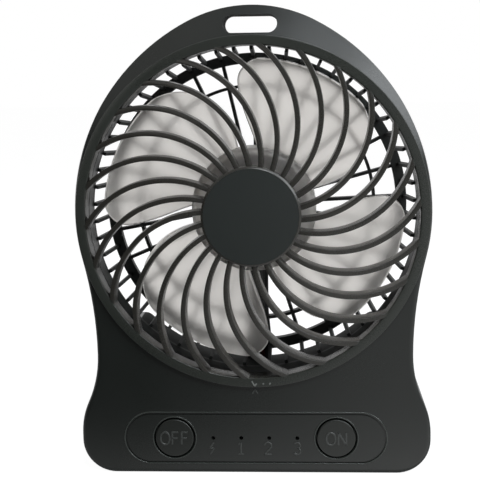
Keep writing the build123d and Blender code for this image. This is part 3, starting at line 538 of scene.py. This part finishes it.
# %% Bars of the grille
HUB_R = 14.9
BAR_COUNT, BAR_FRONT, BAR_BACK, BAR_DEPTH = 26, 1.4, 1.75, 5.0
BAR_ROUND = [0.1, 0.26, 0.3, 0.3]
BAR_CURVE, BAR_LEAN, BAR_SWEEP, BAR_FIRST = 29.2, radians(5.3), radians(91.0), radians(9.0)
BAR_ROOT, BAR_REACH = 0.8, 50.75


def bar_section():
    """Points (side, depth) round a bar that widens to the back, with rounded corners."""
    front, back = BAR_FRONT / 2, BAR_BACK / 2
    corners = [[-front, 0], [front, 0], [back, BAR_DEPTH], [-back, BAR_DEPTH]]
    return rounded(corners, BAR_ROUND, steps=5)


def grille_bars(steps=44):
    """The section along the arc: point = line + side * left normal, depth = dome + section.

    What would go past the reach is drawn in to it, and the bar is copied round the axis.
    """
    section = bar_section()
    turn = BAR_LEAN + np.linspace(0, BAR_SWEEP, steps)
    centre_x = HUB_R - BAR_ROOT - BAR_CURVE * np.sin(BAR_LEAN)
    centre = np.array([centre_x, BAR_CURVE * np.cos(BAR_LEAN)])
    line = centre + BAR_CURVE * np.stack([np.sin(turn), -np.cos(turn)], -1)
    left = np.stack([-np.sin(turn), np.cos(turn)], -1)
    flat = line[:, None] + left[:, None] * section[None, :, :1]
    flat *= np.minimum(1, BAR_REACH / np.linalg.norm(flat, axis=-1, keepdims=True))
    depth = dome_depth(np.linalg.norm(line, axis=1))[:, None] + section[None, :, 1]
    spread = BAR_FIRST + 2 * pi * np.arange(BAR_COUNT)[:, None, None] / BAR_COUNT
    x = flat[..., 0] * np.cos(spread) - flat[..., 1] * np.sin(spread)
    z = flat[..., 0] * np.sin(spread) + flat[..., 1] * np.cos(spread) + AXIS_Z
    return np.stack([x, np.broadcast_to(depth, x.shape), z], -1)


bars = [(bar, False) for bar in grille_bars()]
print("bars:", len(bars))

# %% [markdown]
# The ring lies on the casing and has a skirt that reaches into the duct, where four lugs lock
# it when the grille is twisted. The hub is a shallow cap with a sloped rim, and its floor
# carries the plain disc, which stays a solid. Ring, hub and lugs are turned profiles, and they
# join the bars in one mesh, because the real grille is one moulding.

# %% Ring, hub and lugs
FACE_Y = -13.0
RING_IN, RING_OUT, RING_Y = 50.3, 53.3, -14.5
SKIRT_OUT, SKIRT_BACK = 51.5, -8.5
HUB_IN, HUB_BACK, HUB_INSIDE = 13.3, -15.0, -17.6
HUB_SIDE, HUB_RIM = -19.5, -19.95
DISC_R, DISC_SEAT = 14.22, -19.2
LUG_IN, LUG_OUT, LUG_FRONT = 51.2, 52.5, -10.1
LUG_COUNT, LUG_FIRST, LUG_WIDE = 4, 40.0, 10.0
POLE = 0.02
# The radius of each corner, in the order of its profile.
RING_ROUND = [0.2, 0.4, 0.3, 0.05, 0.1, 0.2]
HUB_ROUND = [0.005, 0.2, 0.3, 0.3, 0.08, 0.04, 0.05, 0.005]
LUG_ROUND = 0.15

ring = rounded(
    [[RING_IN, SKIRT_BACK], [RING_IN, RING_Y], [RING_OUT, RING_Y],
     [RING_OUT, FACE_Y], [SKIRT_OUT, FACE_Y], [SKIRT_OUT, SKIRT_BACK]],
    RING_ROUND,
)
hub = rounded(
    [[POLE, HUB_INSIDE], [HUB_IN, HUB_INSIDE], [HUB_IN, HUB_BACK], [HUB_R, HUB_BACK],
     [HUB_R, HUB_SIDE], [DISC_R, HUB_RIM], [DISC_R, DISC_SEAT], [POLE, DISC_SEAT]],
    HUB_ROUND,
)
lug = rounded(
    [[LUG_IN, LUG_FRONT], [LUG_OUT, LUG_FRONT], [LUG_OUT, SKIRT_BACK], [LUG_IN, SKIRT_BACK]],
    LUG_ROUND, steps=4,
)
lug_starts = [LUG_FIRST + 360.0 / LUG_COUNT * k for k in range(LUG_COUNT)]
lugs = [turned(lug, 10, radians(start), radians(LUG_WIDE)) for start in lug_starts]
grille = piece_from(
    "grille_moulding", [turned(ring), turned(hub, steps=144), *lugs, *bars],
    "grille", grille_black,
)
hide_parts("front_grille")

# %% [markdown]
# The impeller has four broad blades, and each runs from a rear edge to a front edge. Seen
# from the front both edges are gentle curves. They could be drawn point by point, but a
# parabola through the angles at the root, half way out and at the tip has no bumps.

# %% Edges of a blade
CUP_R, TIP_R = 19.4, 46.8
REAR_ANGLES = np.array([15.3, 20.0, 36.5])
FRONT_ANGLES = np.array([86.2, 95.7, 94.2])


def through_three(radius, values):
    """The parabola in the radius that takes three values at the root, the middle and the tip."""
    share = (radius - CUP_R) / (TIP_R - CUP_R)
    root = values[0] * (1 - share) * (1 - 2 * share)
    return root + values[1] * 4 * share * (1 - share) + values[2] * share * (2 * share - 1)


print("degrees across a blade:", np.round(FRONT_ANGLES - REAR_ANGLES, 1).tolist())

# %% [markdown]
# A blade is a sheet that climbs evenly from its rear edge to its front edge. At each radius
# the section is a flat loop with round ends, and towards the tip both ends draw in along a
# quarter circle, which rounds the blade's corners. A plane with thickness would leave square
# edges, and here the round edge comes from the formula.

# %% Blades of the impeller
BLADE_COUNT, BLADE_THICK, BLADE_CORNER, BLADE_ROOT = 4, 1.3, 7.0, 0.25
ROW_SPREAD, TIP_WIDTH = 0.9, 0.02
REAR_Y, FRONT_Y = 7.9, -3.5


def round_off(distance):
    """Share of the full thickness at a distance from an edge: a quarter circle, then level."""
    gap = np.clip(distance / (BLADE_THICK / 2), 0, 1)
    return np.sqrt(gap * (2 - gap))


def blade_loops(rows=60, side=48):
    """Loops of points (angle, depth) at each radius, thinning to a round edge all the way round.

    Angle = rear + share * (front - rear). Depth = an even climb with the angle, plus or minus
    half the thickness, times the round off at the ends and at the tip.
    """
    share = np.sin(np.linspace(0, pi / 2, rows)) ** ROW_SPREAD
    radius = CUP_R - BLADE_ROOT + (TIP_R - CUP_R + BLADE_ROOT) * share
    inside = np.clip(radius - (TIP_R - BLADE_CORNER), 0, BLADE_CORNER - TIP_WIDTH)
    draw_in = BLADE_CORNER - np.sqrt(BLADE_CORNER**2 - inside**2)
    rear = np.radians(through_three(radius, REAR_ANGLES)) + draw_in / radius
    front = np.radians(through_three(radius, FRONT_ANGLES)) - draw_in / radius
    turn = np.linspace(0, 2 * pi, 2 * side, endpoint=False)
    along = 0.5 - 0.5 * np.cos(turn)
    chord = (front - rear) * radius
    round_end = round_off(np.minimum(along, 1 - along)[None, :] * chord[:, None])
    round_tip = round_off(TIP_R - radius)[:, None]
    angle = rear[:, None] + (front - rear)[:, None] * along[None, :]
    climb = (np.degrees(angle) - REAR_ANGLES[0]) / (FRONT_ANGLES[1] - REAR_ANGLES[0])
    middle = REAR_Y + climb * (FRONT_Y - REAR_Y)
    face = np.where(turn < pi, -1.0, 1.0)[None, :]
    depth = middle + face * BLADE_THICK / 2 * round_end * round_tip
    return radius, angle, depth


def impeller_blades():
    """Each blade is the same set of loops, turned by a quarter: x = r cos a, z = axis + r sin a."""
    radius, angle, depth = blade_loops()
    spread = angle[None] + 2 * pi * np.arange(BLADE_COUNT)[:, None, None] / BLADE_COUNT
    x = radius[None, :, None] * np.cos(spread)
    z = radius[None, :, None] * np.sin(spread) + AXIS_Z
    return np.stack([x, np.broadcast_to(depth, x.shape), z], -1)


blades = [(blade, False) for blade in impeller_blades()]
print("blades:", len(blades), "with", blades[0][0].shape[0] * blades[0][0].shape[1], "points each")

# %% [markdown]
# The blades stand on a cup that hides the motor, and inside the cup a boss sits on the shaft.
# The cup is one turned profile, from the middle of its face round the wall and back to the
# boss. With the blades it is one mesh that rides on the rotor.

# %% Cup of the impeller
CUP_FACE, CUP_BACK, CUP_IN, CUP_INSIDE = -3.6, 9.0, 18.0, -2.2
BOSS_R, BOSS_BACK = 3.2, 0.4
BORE_R, BORE_END = 1.0, -3.0
CUP_ROUND = [0.005, 2.2, 0.2, 0.2, 0.9, 0.3, 0.2, 0.1, 0.05, 0.005]

cup = rounded(
    [[POLE, CUP_FACE], [CUP_R, CUP_FACE], [CUP_R, CUP_BACK], [CUP_IN, CUP_BACK],
     [CUP_IN, CUP_INSIDE], [BOSS_R, CUP_INSIDE], [BOSS_R, BOSS_BACK], [BORE_R, BOSS_BACK],
     [BORE_R, BORE_END], [POLE, BORE_END]],
    CUP_ROUND,
)
impeller = piece_from(
    "impeller_moulding", [turned(cup, steps=144), *blades],
    "rotor", blade_milk,
)
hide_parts("impeller")

# %% [markdown]
# The words on the keys and the signs on the panel are thin raised lines of even width. A text
# object has a typeface with thick and thin parts and many small faces. Here each sign is a few
# strokes instead: lists of points in a square of height 1, with arcs where the sign is round.

# %% Shapes of the signs
def arc_points(centre, radius, start, end, steps=14, tall=1.0):
    """Points on an ellipse from one angle to another in degrees, tall being height over width."""
    angle = np.radians(np.linspace(start, end, steps))
    x = centre[0] + radius * np.cos(angle)
    return np.stack([x, centre[1] + radius * tall * np.sin(angle)], -1)


LETTERS = {
    "O": [arc_points((0.36, 0.5), 0.36, 0, 360, 29, 1.39)],
    "F": [[(0.5, 1.0), (0.0, 1.0), (0.0, 0.0)], [(0.0, 0.52), (0.42, 0.52)]],
    "N": [[(0.0, 0.0), (0.0, 1.0), (0.62, 0.0), (0.62, 1.0)]],
    "1": [[(-0.18, 0.82), (0.04, 1.0), (0.04, 0.0)], [(-0.18, 0.0), (0.26, 0.0)]],
    "2": [np.concatenate([
        arc_points((0.0, 0.72), 0.28, 170, -30, 12), [(-0.28, 0.0), (0.30, 0.0)],
    ])],
    "3": [np.concatenate([
        arc_points((0.0, 0.75), 0.25, 150, -80, 11), arc_points((0.0, 0.26), 0.27, 80, -150, 11),
    ])],
    "bolt": [[(0.14, 1.0), (-0.2, 0.5), (0.16, 0.5), (-0.16, 0.0)]],
}
print("signs drawn:", list(LETTERS))

# %% [markdown]
# A stroke becomes a raised line when a flat section with sloped sides is carried along it. A
# curve with a bevel would do it too, but would make the line's top round. The points are set
# close together first, so that the section turns at a corner within a short step and the
# corner stays crisp.

# %% Strokes of the signs
STROKE_SECTION = np.array(
    [[-0.5, 0.5], [-0.5, -0.55], [-0.3, -1.0], [0.3, -1.0], [0.5, -0.55], [0.5, 0.5]]
)
POINT_STEP = 0.06


def close_points(path):
    """The same path with points no further apart than a step, so that corners stay crisp."""
    path = np.asarray(path, float)
    length = np.concatenate([[0], np.cumsum(np.linalg.norm(np.diff(path, axis=0), axis=1))])
    along = np.unique(np.concatenate([length, np.arange(0, length[-1], POINT_STEP)]))
    return np.stack([np.interp(along, length, path[:, k]) for k in (0, 1)], -1)


def stroke(path, face_y, width, proud):
    """The section along a path in the front view: point = path + side * normal * width.

    Its depth is that of the face less the section's height times what stands proud.
    """
    path = close_points(path)
    ahead = np.gradient(path, axis=0)
    ahead /= np.maximum(np.linalg.norm(ahead, axis=1, keepdims=True), TINY)
    normal = np.stack([-ahead[:, 1], ahead[:, 0]], -1)
    flat = path[:, None] + normal[:, None] * STROKE_SECTION[None, :, :1] * width
    depth = np.broadcast_to(face_y + STROKE_SECTION[None, :, 1] * proud, flat.shape[:2])
    return np.stack([flat[..., 0], depth, flat[..., 1]], -1), False


def word(signs, spacing, centre, height, face_y, width, proud):
    """Strokes of several signs side by side: point = corner of the sign + height * stroke."""
    strokes = []
    for sign, offset in zip(signs, spacing):
        corner = np.array([centre[0] + offset, centre[1] - height / 2])
        for path in LETTERS[sign]:
            line = np.asarray(path, float) * height + corner
            strokes.append(stroke(line, face_y, width, proud))
    return strokes


print("stroke helpers ready")

# %% [markdown]
# The keys say OFF and ON, and under the four lamp holes stand a bolt and 1, 2, 3. The words
# ride on their keys, so that they go in with them, and the four signs ride on the body.

# %% Words on the keys and signs on the panel
PANEL_Z = JOINTS["on_press"]["pos_m"][2] / MM
KEY_X, KEY_Y = 25.0, -13.3
WORD_HIGH, WORD_LINE, WORD_PROUD, WORD_DROP = 3.9, 0.55, 0.18, 0.1
SIGN_HIGH, SIGN_LINE, SIGN_PROUD, SIGN_DROP = 3.8, 0.5, 0.2, 3.3
OFF_SPACING, ON_SPACING = (-4.35, -0.75, 2.15), (-3.1, 0.6)
SIGN_PLACES = {"bolt": -13.4, "1": -4.6, "2": 3.9, "3": 12.9}
LINE_SHARP = 30.0

# The letters and signs are coloured lighter than the black they stand on: a painted highlight for
# their raised edges.
word_size = (WORD_HIGH, KEY_Y, WORD_LINE, WORD_PROUD)
off_word = word("OFF", OFF_SPACING, (-KEY_X, PANEL_Z - WORD_DROP), *word_size)
on_word = word("ON", ON_SPACING, (KEY_X, PANEL_Z - WORD_DROP), *word_size)
piece_from("off_letters", off_word, "off_key", sign_black, LINE_SHARP)
piece_from("on_letters", on_word, "on_key", sign_black, LINE_SHARP)

sign_size = (SIGN_HIGH, FACE_Y, SIGN_LINE, SIGN_PROUD)
signs = word(SIGN_PLACES, SIGN_PLACES.values(), (0.0, PANEL_Z - SIGN_DROP), *sign_size)
piece_from("panel_signs", signs, "body", sign_black, LINE_SHARP)

# %% [markdown]
# The groove round the panel and the two key holes have a fine rolled lip, which catches the
# light at the lower left and the upper right. A bevel in the shader would be noisy at this
# size. A low half round carried along a closed path gives a real lip: the path of the groove
# is two straight runs and two half circles, and a key hole is the same with no run.

# %% Lips of the panel and the key holes
PANEL_HALF, PANEL_ROUND = 40.05, 7.65
GROOVE_HALF, KEY_HOLE_R = 0.25, 6.45
LIP_HALF, LIP_PROUD, LIP_STEPS, LIP_SHARP = 0.26, 0.22, 9, 60.0


def slot_path(half_length, end_radius, steps=40):
    """A closed outline about its middle: a half circle at each end of two straight runs."""
    angle = np.linspace(-pi / 2, pi / 2, steps)
    run = half_length - end_radius
    end = np.stack([run + end_radius * np.cos(angle), end_radius * np.sin(angle)], -1)
    return np.concatenate([end, -end])


def lip(path, centre):
    """A half round along a closed path: point = path + side * normal, depth = face - height."""
    ahead = np.roll(path, -1, 0) - np.roll(path, 1, 0)
    ahead /= np.linalg.norm(ahead, axis=1, keepdims=True)
    normal = np.stack([-ahead[:, 1], ahead[:, 0]], -1)
    turn = np.linspace(0, pi, LIP_STEPS)
    side = np.concatenate([LIP_HALF * np.cos(turn), [-LIP_HALF, LIP_HALF]])
    height = np.concatenate([LIP_PROUD * np.sin(turn), [-LIP_PROUD, -LIP_PROUD]])
    flat = path[:, None] + normal[:, None] * side[None, :, None] + np.asarray(centre)
    depth = np.broadcast_to(FACE_Y - height, flat.shape[:2])
    return np.stack([flat[..., 0], depth, flat[..., 1]], -1), True


groove_length = PANEL_HALF + GROOVE_HALF + LIP_HALF
groove_round = PANEL_ROUND + GROOVE_HALF + LIP_HALF
hole_r = KEY_HOLE_R + LIP_HALF
panel_lip = lip(slot_path(groove_length, groove_round), (0.0, PANEL_Z))
key_lips = [lip(slot_path(hole_r, hole_r), (x, PANEL_Z)) for x in (-KEY_X, KEY_X)]
# The lips take the lighter lip colour, a painted highlight on top of what their round catches.
piece_from("panel_lips", [panel_lip, *key_lips], "body", lip_black, LIP_SHARP)

# %% [markdown]
# Two small arrow marks show how the grille sits when it is locked: one on the ring, with two
# pips beside it, and one on the casing under it. They are strokes like the letters. The upper
# ones ride on the grille, so that the arrows part when it is twisted.

# %% Marks of the twist lock
MARK_LINE, PIP_LINE = 0.4, 0.45
RING_MARK_PROUD, CASE_MARK_PROUD = 0.14, 0.1
RING_ARROW = [(-0.75, 29.9), (0.15, 28.4), (0.75, 29.2)]
RING_PIPS = [[(2.6, 28.95), (2.95, 29.25)], [(4.6, 28.95), (5.0, 29.35)]]
CASE_ARROW = [(-0.7, 25.6), (0.15, 26.9), (0.95, 25.6)]

ring_marks = [stroke(RING_ARROW, RING_Y, MARK_LINE, RING_MARK_PROUD)]
ring_marks += [stroke(pip, RING_Y, PIP_LINE, RING_MARK_PROUD) for pip in RING_PIPS]
case_marks = [stroke(CASE_ARROW, FACE_Y, MARK_LINE, CASE_MARK_PROUD)]
# The ring's arrow and pips are light grey all over: a painted highlight for the glint on their
# raised edges.
piece_from("ring_marks", ring_marks, "grille", mark_grey, LINE_SHARP)
# The casing's arrow takes the lighter sign colour, a painted highlight.
piece_from("case_marks", case_marks, "body", sign_black, LINE_SHARP)

# %% [markdown]
# The fan stands on a pale floor. Lamps strong enough to make it white would wash out the
# black fan, so the floor glows for the rays that come straight from the camera, and a share
# of it is left to the lamps, which keeps the soft shadow. For mirror rays the floor in front
# of the fan has a painted shadow, with painted pools of light close to the base and to the
# right, which the glossy front of the casing shows as a painted reflection. Behind the fan it
# turns white again.

# %% Floor
FLOOR_HALF, FLOOR_GREY, FLOOR_PAINTED_SHADE = 4.0, 0.55, 0.04
WHITE = (1.0, 1.0, 1.0, 1.0)
GLOW, GLOW_SHARE = 1.47, 0.65
# Each ramp is its start and end in metres, then its value at either end.
FLOOR_BACK = (0.0, 0.4, 0.0, 1.0)
# The front ramp marks where the painted shadow lies, in front of the fan; the near and right ramps
# are painted pools of light. Both show only in mirror rays.
FLOOR_FRONT = (-0.013, -0.016, 0.0, 1.0)
FLOOR_PAINTED_LIGHT_NEAR = (-0.075, -0.02, 0.0, 0.48)
FLOOR_PAINTED_LIGHT_RIGHT = (-0.045, 0.05, 0.03, 0.80)


def light_path(finish, *names):
    """One where the ray is any of these kinds, and 0 otherwise."""
    total, *others = [finish.add("LightPath", output=name) for name in names]
    for tone in others:
        total = finish.math("MAXIMUM", total, tone)
    return total


corners = np.array([[-1, -1, 0], [1, -1, 0], [1, 1, 0], [-1, 1, 0]]) * FLOOR_HALF
floor_mesh = bpy.data.meshes.new("floor")
floor_mesh.from_pydata(corners.tolist(), [], [(0, 1, 2, 3)])
floor = bpy.data.objects.new("floor", floor_mesh)
bpy.context.scene.collection.objects.link(floor)
floor_paint = bpy.data.materials.new("pale_floor")
floor_paint.use_nodes = True
paint = Finish(floor_paint.node_tree)
paint.tree.nodes.clear()
matt = paint.add("BsdfDiffuse", None, {"Color": (FLOOR_GREY, FLOOR_GREY, FLOOR_GREY, 1.0)})
# A near black matt: the painted shadow in front of the fan, seen in mirror rays.
dark = paint.add("BsdfDiffuse", None, {"Color": (FLOOR_PAINTED_SHADE, FLOOR_PAINTED_SHADE, FLOOR_PAINTED_SHADE, 1.0)})
glow = paint.add("Emission", None, {"Color": WHITE, "Strength": GLOW})
floor_x, floor_y, _ = paint.place()
# In front of the fan, mirror rays see painted pools of light close to the base and to the right,
# and the painted shadow elsewhere.
front = paint.ramp(floor_y, *FLOOR_FRONT)
painted_light_near_and_right = paint.ramp(floor_y, *FLOOR_PAINTED_LIGHT_NEAR) + paint.ramp(floor_x, *FLOOR_PAINTED_LIGHT_RIGHT)
glossy = light_path(paint, "Is Glossy Ray")
mirrored = glossy * (paint.ramp(floor_y, *FLOOR_BACK) + front * painted_light_near_and_right)
straight = light_path(paint, "Is Camera Ray", "Is Transmission Ray")
seen = paint.math("MAXIMUM", straight, mirrored) * GLOW_SHARE
painted_shade_mix = paint.add("MixShader", None, {0: glossy * front, 1: matt, 2: dark})
paint.close("Material", paint.add("MixShader", None, {0: seen, 1: painted_shade_mix, 2: glow}))
floor_mesh.materials.append(floor_paint)
print("floor:", 2 * FLOOR_HALF, "m wide")

# %% [markdown]
# Round the fan is a white room. It is white for the camera, for what shows through the milky
# blades, and for mirror rays that go to the back. As a light it is weak, because lamps give a
# better shape: a little from above, a little from behind, and a low band at the front right,
# like a skyline in a window, whose mirror image gives the lower front its soft tone.

# %% World
# Each ramp is its start and end in the way that a ray goes, then its value at either end.
ROOM_BEHIND = (-0.1, 0.5, 0.0, 1.0)
ROOM_ABOVE = (-0.02, 0.2, 0.0, 0.12)
SKYLINE_RIGHT = (-0.05, 0.06, 0.0, 0.5)
SKYLINE_LOW = (0.10, 0.04, 0.0, 1.0)
BEHIND_LIGHT = 0.2

world = bpy.data.worlds.new("white_room")
world.use_nodes = True
bpy.context.scene.world = world
room = Finish(world.node_tree)
room.tree.nodes.clear()
side_way, depth_way, up_way = room.place("Generated")
behind = room.ramp(depth_way, *ROOM_BEHIND)
above = room.ramp(up_way, *ROOM_ABOVE)
band = room.ramp(side_way, *SKYLINE_RIGHT) * room.ramp(up_way, *SKYLINE_LOW)
skyline = band * (1 - behind)
straight = light_path(room, "Is Camera Ray", "Is Transmission Ray")
seen = room.math("MAXIMUM", straight, light_path(room, "Is Glossy Ray") * behind)
level = seen + (1 - seen) * (above + skyline + behind * BEHIND_LIGHT)
room.close("World", room.add("Background", None, {"Color": WHITE, "Strength": level}))
print("world ready:", world.name)

# %% [markdown]
# Soft, cool light comes from the upper right, as from a window, with a weaker warm fill from
# the left. One large lamp would light the fan evenly and flatly. Six square area lamps give
# the bars and the rim the broken highlights of a room, and each stays weak enough for the
# black to render about as it is written.

# %% Lights
COOL, COOLER, WARM = (0.93, 0.97, 1.0), (0.92, 0.96, 1.0), (1.0, 0.99, 0.96)
# Place, height of the target over the floor, side of the square, watts and colour.
LAMPS = {
    "window": ((0.53, -0.35, 0.44), 0.09, 0.40, 3.3, COOL),
    "pane": ((0.10, -0.43, 0.50), 0.09, 0.12, 1.2, COOLER),
    "skylight": ((0.25, -0.35, 0.60), 0.09, 0.25, 0.5, COOL),
    "left_sky": ((-0.20, -0.26, 0.65), 0.11, 0.22, 0.11, WARM),
    "left_wall": ((-0.42, -0.25, 0.45), 0.10, 0.36, 0.22, WARM),
    "left_fill": ((-0.26, -0.52, 0.19), 0.09, 0.14, 0.12, WARM),
}


def soft_box(name, place, target_z, size, watts, colour):
    """A square area lamp at a place, turned to a point over the middle of the floor."""
    lamp = bpy.data.lights.new(name, "AREA")
    lamp.shape = "SQUARE"
    lamp.size = size
    lamp.energy = watts
    lamp.color = colour
    box = bpy.data.objects.new(name, lamp)
    box.location = place
    ahead = Vector((0.0, 0.0, target_z)) - Vector(place)
    box.rotation_euler = ahead.to_track_quat("-Z", "Y").to_euler()
    bpy.context.scene.collection.objects.link(box)


for name, settings in LAMPS.items():
    soft_box(name, *settings)
print("lamps:", list(LAMPS))

# %% [markdown]
# The camera stands close, a little to the right of the fan and above it, and leans by less
# than a degree. Its place could be set by eye, but angles and a distance from a point on the
# axis are easier to fit. The small shift only puts the fan where the photograph has it.

# %% Camera
AIM = Vector((0.0, RING_Y * MM, AXIS_Z * MM))
AZIMUTH, ELEVATION, ROLL, DISTANCE = radians(3.1), radians(7.5), radians(-0.84), 0.320
SENSOR, LENS, SHIFT_X, SHIFT_Y, CLIP_START = 36.0, 80.25, -0.0244, -0.0527, 0.01

level_out = np.cos(ELEVATION)
away = Vector((np.sin(AZIMUTH) * level_out, -np.cos(AZIMUTH) * level_out, np.sin(ELEVATION)))
eye = bpy.data.cameras.new("camera")
eye.sensor_width = SENSOR
eye.lens = LENS
eye.shift_x = SHIFT_X
eye.shift_y = SHIFT_Y
eye.clip_start = CLIP_START
camera = bpy.data.objects.new("camera", eye)
camera.location = AIM + away * DISTANCE
tilt = Quaternion((0.0, 0.0, 1.0), ROLL)
camera.rotation_euler = ((-away).to_track_quat("-Z", "Y") @ tilt).to_euler()
bpy.context.scene.collection.objects.link(camera)
bpy.context.scene.camera = camera
bpy.context.scene.view_settings.view_transform = "Standard"
print("camera at", [round(v, 4) for v in camera.location])
